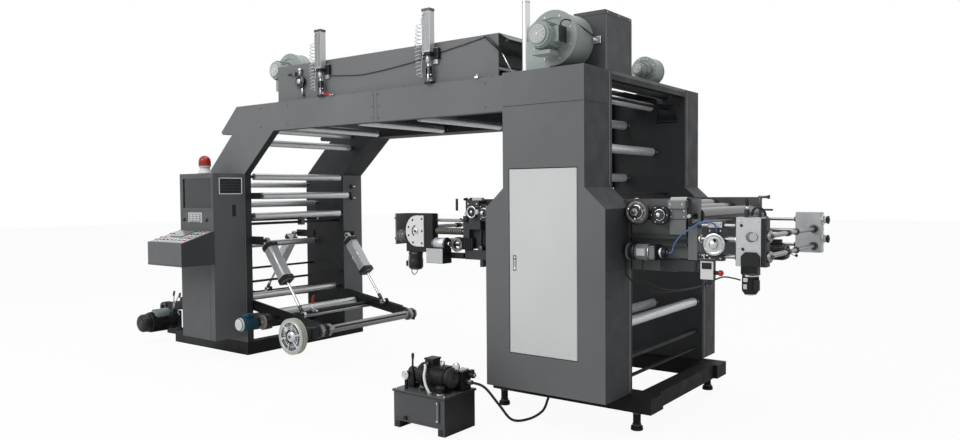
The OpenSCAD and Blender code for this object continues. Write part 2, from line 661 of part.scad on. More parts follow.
// square of half side r with its corners cut off by c
module square_cut(r, c) polygon([[r, c - r], [r, r - c], [r - c, r], [c - r, r], [-r, r - c],
  [-r, c - r], [c - r, -r], [r - c, -r]]);
module barrel_shape() for (y = yb) swung(y) difference() {
  union() {
    translate([0, 0, -500]) linear_extrude(60) square_cut(cyl_r, 15);
    translate([0, 0, -441]) linear_extrude(332) square_cut(cyl_r - 5, 12);
    translate([0, 0, -110]) linear_extrude(60) square_cut(cyl_r, 15);
    lie() translate([0, 0, -16]) cylinder(r = 28, h = 32);
    translate([-28, -16, -52]) cube([56, 32, 52]);
  }
  translate([0, 0, -470]) cylinder(r = cyl_r - 16, h = 380);
  translate([0, 0, -501]) cylinder(r = rod_r + run_gap, h = 60);
  lie() translate([0, 0, -20]) cylinder(r = 14 + run_gap, h = 40);
}
// each rod ends in a loose eye around its arm's pin
module rod_shape() for (y = yb) swung(y) difference() {
  union() {
    translate([0, 0, -hang_l]) cylinder(r = rod_r, h = hang_l - 440);
    translate([0, 0, -hang_l]) lie() translate([0, 0, -13]) cylinder(r = 30, h = 26);
  }
  translate([0, 0, -hang_l]) lie() translate([0, 0, -14]) cylinder(r = 16, h = 28);
}
module barrels() color([0.72, 0.74, 0.75]) at_foot() barrel_shape();
module rods() color(steel) at_foot() rod_shape();
module barrels_back() color([0.72, 0.74, 0.75]) at_foot() other_station() barrel_shape();
module rods_back() color(steel) at_foot() other_station() rod_shape();

// Idlers, numbered from the unwind stand to the tower
module stand_idler(p) idler(p, syn + end_gap, yfi - end_gap);
module tower_idler(p) idler(p, yni + end_gap, yfi - end_gap);
module idler_1() stand_idler(ST[0]);
module idler_2() stand_idler(ST[1]);
module idler_3() stand_idler(ST[2]);
module idler_4() stand_idler(ST[3]);
module idler_5() stand_idler(ST[4]);
module idler_6() stand_idler(ST[5]);
module idler_7() stand_idler(LOW);
module idler_8() stand_idler(UP[0]);
module idler_9() stand_idler(UP[1]);
module idler_10() stand_idler(BR[0]);
module idler_11() stand_idler(BR[1]);
module idler_12() stand_idler(BR[2]);
module idler_13() tower_idler(TW[0]);
module idler_14() tower_idler(TW[1]);
module idler_15() tower_idler(TW[2]);
module idler_16() tower_idler(TW[3]);
module idler_17() tower_idler(TW[4]);
module idler_18() tower_idler(TW[5]);
module arm_idler() idler(ARM_IDLER, ya0 + arm_t + 25, ya1 - arm_t - 25);

// Round path of the hydraulic hose, from the valve block to the base rail
HOSE = [[tank_x1 - 8, -280, 325], [tank_x1 + 16, -280, 325], [tank_x1 + 40, -280, 325],
  [tank_x1 + 100, -210, 285], [tank_x1 + 150, -110, 150], [tank_x1 + 195, -20, 34],
  [tank_x1 + 250, 110, 18], [tank_x1 + 300, 210, 60], [tank_x1 + 317, 256, 140],
  [hose_x, rail_n - 30, 172], [hose_x, rail_n - 14, 172], [hose_x, rail_n, 172]];
hose_steps = 6;
function mix(a, b, c, d, t) = 0.5 * (2 * b + (c - a) * t + (2 * a - 5 * b + 4 * c - d) * t * t
  + (3 * b - a - 3 * c + d) * t * t * t);
function at(p, i) = p[max(0, min(len(p) - 1, i))];
function curve(p, n) = [for (i = [0:len(p) - 2], k = [0:n - 1])
  mix(at(p, i - 1), p[i], p[i + 1], at(p, i + 2), k / n), p[len(p) - 1]];
function unit(v) = v / norm(v);
function side(d) = unit(cross(d, abs(d[2]) > 0.95 ? [1, 0, 0] : [0, 0, 1]));
module cord(p, r, n = 8) {
  m = len(p);
  dirs = [for (i = [0:m - 1]) unit(at(p, i + 1) - at(p, i - 1))];
  // each ring's first direction is carried on from the last one, so the tube never twists
  a = [for (i = 0, s = side(dirs[0]); i < m; i = i + 1,
    s = i < m ? unit(s - (s * dirs[i]) * dirs[i]) : s) s];
  pts = [for (i = [0:m - 1], k = [0:n - 1])
    p[i] + r * (cos(360 * k / n) * a[i] + sin(360 * k / n) * cross(dirs[i], a[i]))];
  polyhedron(points = pts, faces = concat(
    [[for (k = [0:n - 1]) k]], [[for (k = [n - 1:-1:0]) (m - 1) * n + k]],
    [for (i = [0:m - 2], k = [0:n - 1])
      [i * n + k, (i + 1) * n + k, (i + 1) * n + (k + 1) % n, i * n + (k + 1) % n]]));
}
module hose() color([0.03, 0.03, 0.03]) at_foot() cord(curve(HOSE, hose_steps), hose_r);

tower_covers();
tower_plates();
tower_base();
cross_ties();
door();
heater();
blowers();
mast();
bridge_near();
bridge_far();
stand_base();
cabinet();
desk();
beacon();
drive_motor();
power_tank();
power_pump();
dryer();
lifters();
shafts();
cheeks();
unit_blocks();
unit_rods();
unit_motors();
unit_fittings();
stand_drive();
hose();
arms();
reel();
brake_wheel();
arms_back();
arm_idler();
barrels();
rods();
barrels_back();
rods_back();
idler_1();
idler_2();
idler_3();
idler_4();
idler_5();
idler_6();
idler_7();
idler_8();
idler_9();
idler_10();
idler_11();
idler_12();
idler_13();
idler_14();
idler_15();
idler_16();
idler_17();
idler_18();
plate_roll();
ink_roll();
pan_roll();
plate_roll_b();
ink_roll_b();
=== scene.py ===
"""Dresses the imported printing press: finishes on every solid, fittings, hoses, studio and camera."""

import logging
from dataclasses import dataclass, field
from enum import Enum
from math import atan2, cos, hypot, pi, radians, sin
from typing import Callable, Iterable, Optional, Sequence

import bmesh
import bpy
from mathutils import Matrix, Vector


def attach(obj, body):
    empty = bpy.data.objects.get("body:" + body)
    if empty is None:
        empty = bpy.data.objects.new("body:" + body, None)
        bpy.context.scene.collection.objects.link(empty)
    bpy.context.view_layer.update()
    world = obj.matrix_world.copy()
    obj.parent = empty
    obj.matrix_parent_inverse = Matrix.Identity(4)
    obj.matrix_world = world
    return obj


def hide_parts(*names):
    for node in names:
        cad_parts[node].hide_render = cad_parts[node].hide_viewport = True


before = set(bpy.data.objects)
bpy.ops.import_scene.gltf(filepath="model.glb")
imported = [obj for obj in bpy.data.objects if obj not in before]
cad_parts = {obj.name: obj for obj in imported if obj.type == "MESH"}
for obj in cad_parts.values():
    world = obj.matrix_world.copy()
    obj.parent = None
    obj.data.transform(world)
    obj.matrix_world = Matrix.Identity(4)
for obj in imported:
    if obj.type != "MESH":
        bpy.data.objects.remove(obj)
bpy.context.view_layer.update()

log = logging.getLogger("press")

# the part's source counts in mm from the tower's lower corner; its foot is the frame's origin
FOOT = Vector((40.0, 376.0, 0.0))
MM = 0.001
Point = Sequence[float]


def at(p: Point) -> Vector:
    """A point of the part's source, in mm, as metres in the frame.

    Args:
        p: x, y and z as part.scad gives them.
    Returns:
        The same point in the frame.
    """
    return (Vector(p) - FOOT) * MM


class Axis(Enum):
    """The direction in which a turned or drawn form runs."""

    X = "X"
    Y = "Y"
    Z = "Z"

    def matrix(self) -> Matrix:
        """The turn that takes +Z to this axis."""
        if self is Axis.X:
            return Matrix.Rotation(pi / 2, 4, "Y")
        if self is Axis.Y:
            return Matrix.Rotation(-pi / 2, 4, "X")
        return Matrix.Identity(4)


X, Y, Z = Axis


class Wear(Enum):
    """How much an edge shows bare or rubbed."""

    NONE = 0.0
    LIGHT = 0.35
    WORN = 0.8


# ---------------------------------------------------------------- finishes


class NodeBench:
    """Small helper that lays out one material's nodes."""

    def __init__(self, name: str) -> None:
        """Starts a material with a principled shader.

        Args:
            name: the material's name.
        """
        self.mat = bpy.data.materials.new(name)
        self.mat.use_nodes = True
        self.tree = self.mat.node_tree
        self.tree.nodes.clear()
        self.out = self.tree.nodes.new("ShaderNodeOutputMaterial")
        self.shader = self.tree.nodes.new("ShaderNodeBsdfPrincipled")
        self.tree.links.new(self.shader.outputs["BSDF"], self.out.inputs["Surface"])
        self.where = self.tree.nodes.new("ShaderNodeTexCoord").outputs["Object"]

    def node(self, kind: str, **values: object) -> bpy.types.Node:
        """Adds a node and sets its plain attributes.

        Args:
            kind: the node's type.
            values: attributes to set.
        Returns:
            The node.
        """
        made = self.tree.nodes.new(kind)
        for key, value in values.items():
            setattr(made, key, value)
        return made

    def link(self, a: bpy.types.NodeSocket, b: bpy.types.NodeSocket) -> None:
        """Joins two sockets."""
        self.tree.links.new(a, b)

    def stretched(self, scale: Point) -> bpy.types.NodeSocket:
        """Object coordinates scaled on each axis.

        Args:
            scale: factors for x, y and z.
        Returns:
            The scaled vector.
        """
        mapping = self.node("ShaderNodeMapping")
        mapping.inputs["Scale"].default_value = scale
        self.link(self.where, mapping.inputs["Vector"])
        return mapping.outputs["Vector"]

    def noise(self, scale: float, detail: float = 4.0,
            vector: Optional[bpy.types.NodeSocket] = None) -> bpy.types.NodeSocket:
        """Noise over the object.

        Args:
            scale: cells per metre.
            detail: octaves.
            vector: coordinates, or the object's own.
        Returns:
            The noise value.
        """
        made = self.node("ShaderNodeTexNoise")
        made.inputs["Scale"].default_value = scale
        made.inputs["Detail"].default_value = detail
        self.link(vector or self.where, made.inputs["Vector"])
        return made.outputs["Fac"]

    def ranged(self, value: bpy.types.NodeSocket, low: float, high: float, start: float = 0.3,
            end: float = 0.7) -> bpy.types.NodeSocket:
        """Maps a value to a range.

        Args:
            value: what comes in.
            low: result at start.
            high: result at end.
            start: where the range starts.
            end: where it ends.
        Returns:
            The mapped value.
        """
        made = self.node("ShaderNodeMapRange")
        for key, number in (("From Min", start), ("From Max", end), ("To Min", low), ("To Max", high)):
            made.inputs[key].default_value = number
        self.link(value, made.inputs["Value"])
        return made.outputs["Result"]

    def mixed(self, amount: bpy.types.NodeSocket, a: object, b: object) -> bpy.types.NodeSocket:
        """Mixes two colours.

        Args:
            amount: 0 for a, 1 for b.
            a: colour or socket.
            b: colour or socket.
        Returns:
            The mixed colour.
        """
        made = self.node("ShaderNodeMix", data_type="RGBA")
        self.link(amount, made.inputs["Factor"])
        for socket, value in ((made.inputs[6], a), (made.inputs[7], b)):
            if isinstance(value, bpy.types.NodeSocket):
                self.link(value, socket)
            else:
                socket.default_value = (*value[:3], 1.0)
        return made.outputs[2]

    def edge_mask(self, radius: float) -> bpy.types.NodeSocket:
        """1 on edges, 0 on flats, from the difference of a bevelled and the true normal.

        Args:
            radius: how far an edge's wear reaches, in metres.
        Returns:
            The mask.
        """
        bevel = self.node("ShaderNodeBevel", samples=4)
        bevel.inputs["Radius"].default_value = radius
        geometry = self.node("ShaderNodeNewGeometry")
        dot = self.node("ShaderNodeVectorMath", operation="DOT_PRODUCT")
        self.link(bevel.outputs["Normal"], dot.inputs[0])
        self.link(geometry.outputs["Normal"], dot.inputs[1])
        return self.ranged(dot.outputs["Value"], 1.0, 0.0, 0.86, 0.995)

    def bump(self, height: bpy.types.NodeSocket, distance: float, strength: float, edge: float = 0.0) -> None:
        """Gives the shader a bumped normal, on rounded edges where asked.

        Args:
            height: the height value.
            distance: its depth in metres.
            strength: 0 to 1.
            edge: radius of rounded edges, 0 for none.
        """
        made = self.node("ShaderNodeBump")
        made.inputs["Strength"].default_value = strength
        made.inputs["Distance"].default_value = distance
        self.link(height, made.inputs["Height"])
        if edge > 0:
            bevel = self.node("ShaderNodeBevel", samples=4)
            bevel.inputs["Radius"].default_value = edge
            self.link(bevel.outputs["Normal"], made.inputs["Normal"])
        self.link(made.outputs["Normal"], self.shader.inputs["Normal"])


@dataclass(frozen=True)
class Paint:
    """Sprayed or powder paint: faint clouds of tone, darker upright streaks, fine orange peel, rubbed edges."""

    name: str
    colour: Point
    rough: float = 0.42
    clouds: float = 0.12
    peel: float = 0.25
    wear: Wear = Wear.LIGHT
    edge: float = 0.003
    coat: float = 0.0
    sheen: float = 0.28

    def build(self) -> bpy.types.Material:
        """Makes the material.

        Returns:
            The material.
        """
        b = NodeBench(self.name)
        dark = [c * (1 - self.clouds) for c in self.colour]
        light = [min(1, c * (1 + self.clouds) + 0.004) for c in self.colour]
        tone = b.mixed(b.ranged(b.noise(1.3, 3), 0, 1), dark, light)
        streak = b.ranged(b.noise(2.2, 5, b.stretched((1, 1, 0.12))), 0, 1, 0.45, 0.75)
        tone = b.mixed(b.ranged(streak, 0, 0.35, 0, 1), tone, dark)
        if self.wear is not Wear.NONE:
            rub = b.node("ShaderNodeMath", operation="MULTIPLY")
            b.link(b.edge_mask(0.0035), rub.inputs[0])
            b.link(b.ranged(b.noise(55, 6), 0, self.wear.value, 0.4, 0.62), rub.inputs[1])
            tone = b.mixed(rub.outputs[0], tone, [min(1, c * 1.8 + 0.05) for c in self.colour])
        b.link(tone, b.shader.inputs["Base Color"])
        b.link(b.ranged(b.noise(9, 5), self.rough * 0.85, self.rough * 1.15), b.shader.inputs["Roughness"])
        b.shader.inputs["Coat Weight"].default_value = self.coat
        b.shader.inputs["Specular IOR Level"].default_value = self.sheen
        b.bump(b.noise(420, 2), 0.0004, self.peel, self.edge)
        return b.mat


@dataclass(frozen=True)
class Metal:
    """Turned, brushed or cast metal with tool marks along or round it."""

    name: str
    colour: Point
    rough: float = 0.28
    marks: Point = (1, 1, 1)
    grain: float = 220.0
    depth: float = 0.15
    edge: float = 0.0015
    metallic: float = 1.0
    smear: float = 0.12

    def build(self) -> bpy.types.Material:
        """Makes the material.

        Returns:
            The material.
        """
        b = NodeBench(self.name)
        b.shader.inputs["Metallic"].default_value = self.metallic
        lines = b.noise(self.grain, 3, b.stretched(self.marks))
        dull = [c * 0.86 for c in self.colour]
        tone = b.mixed(b.ranged(lines, 0, 1, 0.35, 0.65), dull, self.colour)
        smear = b.ranged(b.noise(3.5, 5), 0, self.smear, 0.45, 0.7)
        tone = b.mixed(smear, tone, [c * 0.8 for c in self.colour])
        b.link(tone, b.shader.inputs["Base Color"])
        b.link(b.ranged(lines, self.rough * 0.8, self.rough * 1.25, 0.35, 0.65), b.shader.inputs["Roughness"])
        b.bump(lines, 0.0003, self.depth, self.edge)
        return b.mat


@dataclass(frozen=True)
class Plastic:
    """Moulded plastic or rubber with a fine grain."""

    name: str
    colour: Point
    rough: float = 0.45
    grain: float = 600.0
    glow: float = 0.0
    clear: float = 0.0

    def build(self) -> bpy.types.Material:
        """Makes the material.

        Returns:
            The material.
        """
        b = NodeBench(self.name)
        tone = b.mixed(b.ranged(b.noise(14, 4), 0, 1), [c * 0.85 for c in self.colour], self.colour)
        b.link(tone, b.shader.inputs["Base Color"])
        b.link(b.ranged(b.noise(30, 4), self.rough * 0.85, self.rough * 1.15), b.shader.inputs["Roughness"])
        if self.clear > 0:
            b.shader.inputs["Transmission Weight"].default_value = self.clear
            b.shader.inputs["IOR"].default_value = 1.46
        if self.glow > 0:
            b.link(tone, b.shader.inputs["Emission Color"])
            b.shader.inputs["Emission Strength"].default_value = self.glow
        b.bump(b.noise(self.grain, 2), 0.0002, 0.15, 0.001)
        return b.mat


class Finishes:
    """Every finish of the press, made once and kept by name."""

    LIST = (
        Paint("frame_grey", (0.128, 0.132, 0.137), rough=0.5, clouds=0.06),
        # This dark frame paint also serves as painted shade on the +X faces of the tower covers and the desk.
        Paint("frame_deep", (0.040, 0.0415, 0.044), rough=0.55, clouds=0.08),
        Paint("cabinet_grey", (0.095, 0.0985, 0.103), rough=0.48, clouds=0.06),
        Paint("door_pale", (0.60, 0.615, 0.605), rough=0.5, clouds=0.04, peel=0.4, wear=Wear.NONE),
        Paint("base_black", (0.0065, 0.0068, 0.0075), rough=0.58, sheen=0.2),
        Paint("arm_black", (0.010, 0.0105, 0.0115), rough=0.45, sheen=0.3),
        Paint("fan_grey", (0.32, 0.36, 0.345), rough=0.5, clouds=0.1, wear=Wear.WORN),
        Paint("motor_grey", (0.16, 0.19, 0.185), rough=0.42),
        # This black also serves as painted shade on the +X faces of the near end block and the hydraulic tank.
        Paint("motor_black", (0.010, 0.0105, 0.012), rough=0.45, sheen=0.3),
        Paint("drive_teal", (0.008, 0.055, 0.085), rough=0.4),
        Paint("pump_navy", (0.009, 0.0095, 0.0105), rough=0.38),
        Paint("white_paint", (0.72, 0.72, 0.70), rough=0.4, clouds=0.04),
        Paint("rim_green", (0.42, 0.46, 0.38), rough=0.4),
        Metal("chrome_roll", (0.70, 0.71, 0.72), rough=0.33, marks=(1, 0.02, 1), grain=240, depth=0.015,
              metallic=0.72, smear=0.05),
        Metal("ground_steel", (0.30, 0.30, 0.305), rough=0.3, marks=(1, 0.05, 1), depth=0.06),
        Metal("bright_steel", (0.66, 0.67, 0.69), rough=0.2, marks=(0.2, 1, 1)),
        Metal("alu", (0.54, 0.55, 0.56), rough=0.42, marks=(0.15, 1, 1), depth=0.05, metallic=0.7, smear=0.06),
        Paint("heater_grey", (0.060, 0.063, 0.066), rough=0.5, clouds=0.06),
        Paint("block_pale", (0.50, 0.515, 0.515), rough=0.45, clouds=0.05),
        Paint("frame_shade", (0.020, 0.021, 0.023), rough=0.55),
        # A dark frame tone with no paint of its own: painted shade on the tower plates' +X faces, painted light on
        # the stand base's front faces.
        Paint("frame_side_shading", (0.022, 0.023, 0.024), rough=0.5),
        # The frame grey made lighter: painted light on the lit near beam, the hood and its rims.
        Paint("frame_grey_lit", (0.150, 0.155, 0.160), rough=0.5, clouds=0.06),
        Paint("desk_grey", (0.122, 0.127, 0.133), rough=0.48, clouds=0.06),
        Paint("tank_grey", (0.075, 0.077, 0.080), rough=0.4, clouds=0.08),
        # A brightened, less metallic copy of the roll satin: painted light on the tower's idlers, which sit in shade.
        Metal("roll_lit", (0.86, 0.87, 0.89), rough=0.3, marks=(1, 0.02, 1), depth=0.01, metallic=0.3, smear=0.04),
        Metal("roll_dark", (0.085, 0.085, 0.09), rough=0.22, marks=(1, 0.02, 1), depth=0.03),
        Paint("plate_mid", (0.16, 0.163, 0.165), rough=0.42),
        Paint("cap_grey", (0.22, 0.225, 0.225), rough=0.4),
        Metal("cast_grey", (0.20, 0.185, 0.17), rough=0.5, grain=140, depth=0.5, metallic=0.7),
        Metal("brass", (0.72, 0.52, 0.22), rough=0.3),
        Metal("dark_steel", (0.10, 0.10, 0.11), rough=0.36),
        Plastic("rubber_black", (0.012, 0.012, 0.013), rough=0.6),
        Plastic("gap_black", (0.006, 0.006, 0.007), rough=0.8),
        Plastic("beacon_red", (0.42, 0.015, 0.01), rough=0.18, clear=0.25),
        Plastic("button_red", (0.55, 0.02, 0.015), rough=0.3),
        Plastic("button_green", (0.03, 0.35, 0.08), rough=0.3),
        Plastic("button_black", (0.02, 0.02, 0.022), rough=0.3),
        Plastic("hose_blue", (0.07, 0.16, 0.36), rough=0.35),
        Plastic("hose_red", (0.50, 0.03, 0.02), rough=0.35),
        Plastic("hose_clear", (0.62, 0.66, 0.66), rough=0.25),
        Plastic("screen_grey", (0.20, 0.24, 0.22), rough=0.15, glow=0.12),
        Plastic("panel_white", (0.62, 0.64, 0.64), rough=0.35),
        Plastic("dial_white", (0.75, 0.75, 0.72), rough=0.3),
        Plastic("lever_brown", (0.06, 0.025, 0.015), rough=0.3),
        Plastic("glass_dark", (0.02, 0.022, 0.024), rough=0.12),
        Plastic("sight_glass", (0.16, 0.165, 0.17), rough=0.15),
    )

    def __init__(self) -> None:
        """Builds each finish."""
        self.made = {finish.name: finish.build() for finish in self.LIST}

    def __getitem__(self, name: str) -> bpy.types.Material:
        """The material of that name."""
        return self.made[name]


# ---------------------------------------------------------------- mesh work


class Part:
    """One piece made of turned, drawn and boxed forms, in the part's millimetres."""

    def __init__(self, name: str, finishes: Finishes, *names: str) -> None:
        """Starts an empty piece.

        Args:
            name: the piece's name.
            finishes: the shop's finishes.
            names: the finishes that this piece uses; forms name them by number.
        """
        self.name = name
        self.mesh = bmesh.new()
        self.finishes = finishes
        self.names = list(names)

    def _take(self, verts: Iterable[bmesh.types.BMVert], move: Matrix, finish: int, smooth: bool) -> None:
        """Places new points and gives their faces a finish."""
        verts = list(verts)
        bmesh.ops.transform(self.mesh, matrix=move, verts=verts)
        for face in {f for v in verts for f in v.link_faces}:
            face.material_index = finish
            face.smooth = smooth

    def box(self, low: Point, high: Point, finish: int = 0, bevel: float = 2.0,
            turn: Optional[Matrix] = None) -> "Part":
        """A block with rounded edges.

        Args:
            low: lowest corner, mm.
            high: highest corner, mm.
            finish: number of the finish.
            bevel: edge radius, mm.
            turn: a turn about the block's middle.
        Returns:
            The piece.
        """
        a, b = at(low), at(high)
        size = Vector(tuple(abs(b[i] - a[i]) for i in range(3)))
        made = bmesh.ops.create_cube(self.mesh, size=1.0)["verts"]
        bmesh.ops.scale(self.mesh, vec=size, verts=made)
        reach = min(bevel * MM, min(size) * 0.3)
        if reach > 0:
            edges = list({e for v in made for e in v.link_edges})
            cut = bmesh.ops.bevel(self.mesh, geom=edges, offset=reach, segments=2, profile=0.7, affect="EDGES")
            made = list({v for f in cut["faces"] for v in f.verts} | {v for v in made if v.is_valid})
            made = self._island(made)
        self._take(made, Matrix.Translation((a + b) / 2) @ (turn or Matrix.Identity(4)), finish, False)
        return self

    def _island(self, seeds: Sequence[bmesh.types.BMVert]) -> list[bmesh.types.BMVert]:
        """All points joined to the given ones."""
        seen, todo = set(seeds), list(seeds)
        while todo:
            for edge in todo.pop().link_edges:
                for vert in edge.verts:
                    if vert not in seen:
                        seen.add(vert)
                        todo.append(vert)
        return list(seen)

    def _circle(self, along: float, radius: float, steps: int) -> list[bmesh.types.BMVert]:
        """Points on a circle round the mesh's own Z, at that distance along it, mm."""
        around = [2 * pi * k / steps for k in range(steps)]
        return [self.mesh.verts.new((radius * MM * cos(a), radius * MM * sin(a), along * MM)) for a in around]

    def turned(self, axis: Axis, start: Point, outline: Sequence[tuple[float, float]], finish: int = 0,
            steps: int = 32) -> "Part":
        """A form turned on a lathe.

        Args:
            axis: its axis.
            start: the axis point at distance 0, mm.
            outline: (distance along the axis, radius) pairs, mm.
            finish: number of the finish.
            steps: facets round it.
        Returns:
            The piece.
        """
        rings: list[list[bmesh.types.BMVert]] = []
        new: list[bmesh.types.BMVert] = []
        for along, radius in outline:
            if radius <= 0:
                ring = [self.mesh.verts.new((0, 0, along * MM))]
            else:
                ring = self._circle(along, radius, steps)
            rings.append(ring)
            new += ring
        if len(rings[0]) > 1:
            self.mesh.faces.new(rings[0][::-1])
        if len(rings[-1]) > 1:
            self.mesh.faces.new(rings[-1])
        for a, b in zip(rings, rings[1:]):
            for k in range(steps):
                j = (k + 1) % steps
                if len(a) == 1 and len(b) > 1:
                    self.mesh.faces.new((a[0], b[j], b[k]))
                elif len(b) == 1 and len(a) > 1:
                    self.mesh.faces.new((a[k], a[j], b[0]))
                elif len(a) > 1:
                    self.mesh.faces.new((a[k], a[j], b[j], b[k]))
        self._take(new, Matrix.Translation(at(start)) @ axis.matrix(), finish, steps > 8)
        return self

    def rod(self, axis: Axis, start: Point, length: float, radius: float, finish: int = 0, steps: int = 24,
            edge: float = 1.5) -> "Part":
        """A round bar with broken edges.

        Args:
            axis: its axis.
            start: middle of its first end, mm.
            length: mm.
            radius: mm.
            finish: number of the finish.
            steps: facets round it.
            edge: chamfer, mm.
        Returns:
            The piece.
        """
        e = min(edge, radius * 0.3, abs(length) * 0.3)
        outline = [(0, radius - e), (e, radius), (length - e, radius), (length, radius - e)]
        return self.turned(axis, start, outline, finish, steps)

    def ring(self, axis: Axis, start: Point, length: float, outer: float, inner: float, finish: int = 0,
            steps: int = 40) -> "Part":
        """A ring with a hole through it.

        Args:
            axis: its axis.
            start: middle of its first end, mm.
            length: mm.
            outer: outer radius, mm.
            inner: radius of the hole, mm.
            finish: number of the finish.
            steps: facets round it.
        Returns:
            The piece.
        """
        e = min(1.5, (outer - inner) * 0.2, length * 0.25)
        profile = [(0, inner + e), (0, outer - e), (e, outer), (length - e, outer),
                   (length, outer - e), (length, inner + e), (length - e, inner), (e, inner)]
        rows: list[list[bmesh.types.BMVert]] = []
        for along, radius in profile:
            rows.append(self._circle(along, radius, steps))
        for i, a in enumerate(rows):
            b = rows[(i + 1) % len(rows)]
            for k in range(steps):
                j = (k + 1) % steps
                self.mesh.faces.new((a[k], a[j], b[j], b[k]))
        self._take([v for row in rows for v in row], Matrix.Translation(at(start)) @ axis.matrix(), finish, True)
        return self

    def plate(self, outline: Sequence[tuple[float, float]], axis: Axis, start: float, end: float,
            finish: int = 0) -> "Part":
        """A flat plate cut to an outline.

        Args:
            outline: points across the axis, mm: (y, z) for X, (x, z) for Y, (x, y) for Z.
            axis: the plate's normal.
            start: where it starts along the axis, mm.
            end: where it ends, mm.
            finish: number of the finish.
        Returns:
            The piece.
        """

        def lift(p: tuple[float, float], t: float) -> Vector:
            """A point of the outline at that distance along the axis."""
            if axis is X:
                return at((t, p[0], p[1]))
            if axis is Y:
                return at((p[0], t, p[1]))
            return at((p[0], p[1], t))

        first = [self.mesh.verts.new(lift(p, start)) for p in outline]
        last = [self.mesh.verts.new(lift(p, end)) for p in outline]
        self.mesh.faces.new(first)
        self.mesh.faces.new(last[::-1])
        for k in range(len(outline)):
            j = (k + 1) % len(outline)
            self.mesh.faces.new((first[k], last[k], last[j], first[j]))
        self._take(first + last, Matrix.Identity(4), finish, False)
        return self

    def tube(self, points: Sequence[Point], radius: float, finish: int = 0, sides: int = 10,
            rounds: int = 6) -> list[Vector]:
        """A tube along a smooth line through points.

        Args:
            points: the line's points, mm.
            radius: mm.
            finish: number of the finish.
            sides: facets round it.
            rounds: steps between two points; 1 keeps the corners.
        Returns:
            The centre line, in the frame's metres.
        """
        line = smooth_line([at(p) for p in points], rounds)
        rings: list[list[bmesh.types.BMVert]] = []
        side = None
        for i, p in enumerate(line):
            run = (line[min(i + 1, len(line) - 1)] - line[max(i - 1, 0)]).normalized()
            if side is None:
                side = run.cross(Vector((1, 0, 0)) if abs(run.z) > 0.9 else Vector((0, 0, 1))).normalized()
            side = (side - run * side.dot(run)).normalized()
            other = run.cross(side)
            around = [2 * pi * k / sides for k in range(sides)]
            rings.append([self.mesh.verts.new(p + radius * MM * (cos(a) * side + sin(a) * other)) for a in around])
        self.mesh.faces.new(rings[0][::-1])
        self.mesh.faces.new(rings[-1])
        for a, b in zip(rings, rings[1:]):
            for k in range(sides):
                j = (k + 1) % sides
                self.mesh.faces.new((a[k], a[j], b[j], b[k]))
        self._take([v for ring in rings for v in ring], Matrix.Identity(4), finish, True)
        return line

    def screw(self, axis: Axis, place: Point, radius: float = 8.0, height: float = 5.0, finish: int = 0,
            out: int = -1) -> "Part":
        """A hexagon socket screw head standing on a surface.

        Args:
            axis: the surface's normal axis.
            place: middle of the head's foot, mm.
            radius: mm.
            height: mm.
            finish: number of the finish.
            out: +1 or -1, the side it stands out to.
        Returns:
            The piece.
        """
        h, sunk = height * out, -0.4 * out
        outline = [(sunk, radius), (h * 0.7, radius), (h, radius * 0.85), (h, radius * 0.45), (h * 0.5, radius * 0.4)]
        return self.turned(axis, place, outline[::out], finish, 12)

    def screws(self, axis: Axis, places: Iterable[Point], radius: float = 8.0, height: float = 5.0, finish: int = 0,
            out: int = -1) -> "Part":
        """Several screw heads of one size.

        Args:
            axis: the surface's normal axis.
            places: middles of the heads' feet, mm.
            radius: mm.
            height: mm.
            finish: number of the finish.
            out: +1 or -1, the side they stand out to.
        Returns:
            The piece.
        """
        for place in places:
            self.screw(axis, place, radius, height, finish, out)
        return self

    def fins(self, axis: Axis, middle: tuple[float, float], ends: tuple[float, float], radius: float, count: int,
             reach: tuple[float, float], half: float, finish: int = 0, bevel: float = 0.5, start: float = 0.0,
             keep: Callable[[float], bool] = lambda angle: True) -> "Part":
        """Straight fins, teeth or spokes set evenly round an axis.

        Args:
            axis: the axis they run along.
            middle: where it crosses the other two directions, mm.
            ends: where the fins begin and end along it, mm.
            radius: to the fins' middles, mm.
            count: how many a full circle holds.
            reach: how far they stand in and out of that radius, mm.
            half: half their thickness, mm.
            finish: number of the finish.
            bevel: edge radius, mm.
            start: angle of the first one.
            keep: says of an angle whether a fin stands there.
        Returns:
            The piece.
        """
        place = {
            X: lambda end, across: (end, *across),
            Y: lambda end, across: (across[0], end, across[1]),
            Z: lambda end, across: (*across, end),
        }[axis]
        for k in range(count):
            a = 2 * pi * k / count + start
            if keep(a):
                u, v = middle[0] + radius * cos(a), middle[1] + radius * sin(a)
                turn = Matrix.Rotation(-a if axis is Y else a, 4, axis.value)
                low, high = (u - reach[0], v - half), (u + reach[1], v + half)
                self.box(place(ends[0], low), place(ends[1], high), finish, bevel, turn)
        return self

    def bolts(self, middle: Point, circle: float, count: int, radius: float, height: float, finish: int,
              out: int = -1, start: float = 0.0) -> "Part":
        """Screw heads on a circle about Y.

        Args:
            middle: the circle's middle, mm.
            circle: its radius, mm.
            count: how many.
            radius: of a head, mm.
            height: of a head, mm.
            finish: number of the finish.
            out: +1 or -1, the side they stand out to.
            start: angle of the first one.
        Returns:
            The piece.
        """
        x, y, z = middle
        angles = [2 * pi * k / count + start for k in range(count)]
        places = [(x + circle * cos(a), y, z + circle * sin(a)) for a in angles]
        return self.screws(Y, places, radius, height, finish, out)

    def guard(self, middle: Point, radius: float, spoke: float) -> "Part":
        """A round fan guard of wire rings and spokes, facing -Y.

        Args:
            middle: its middle, mm.
            radius: outer radius, mm.
            spoke: how far the spokes reach, mm.
        Returns:
            The piece.
        """
        x, y, z = middle
        for share in (0.28, 0.44, 0.6, 0.76, 0.92):
            self.ring(Y, (x, y - 2, z), 3.4, radius * share + 1.8, radius * share - 1.8, 1, 32)
        for k in range(6):
            turn = Matrix.Rotation(pi * k / 6, 4, "Y")
            self.box((x - spoke, y - 1.6, z - 1.6), (x + spoke, y + 0.6, z + 1.6), 1, 0.4, turn)
        return self

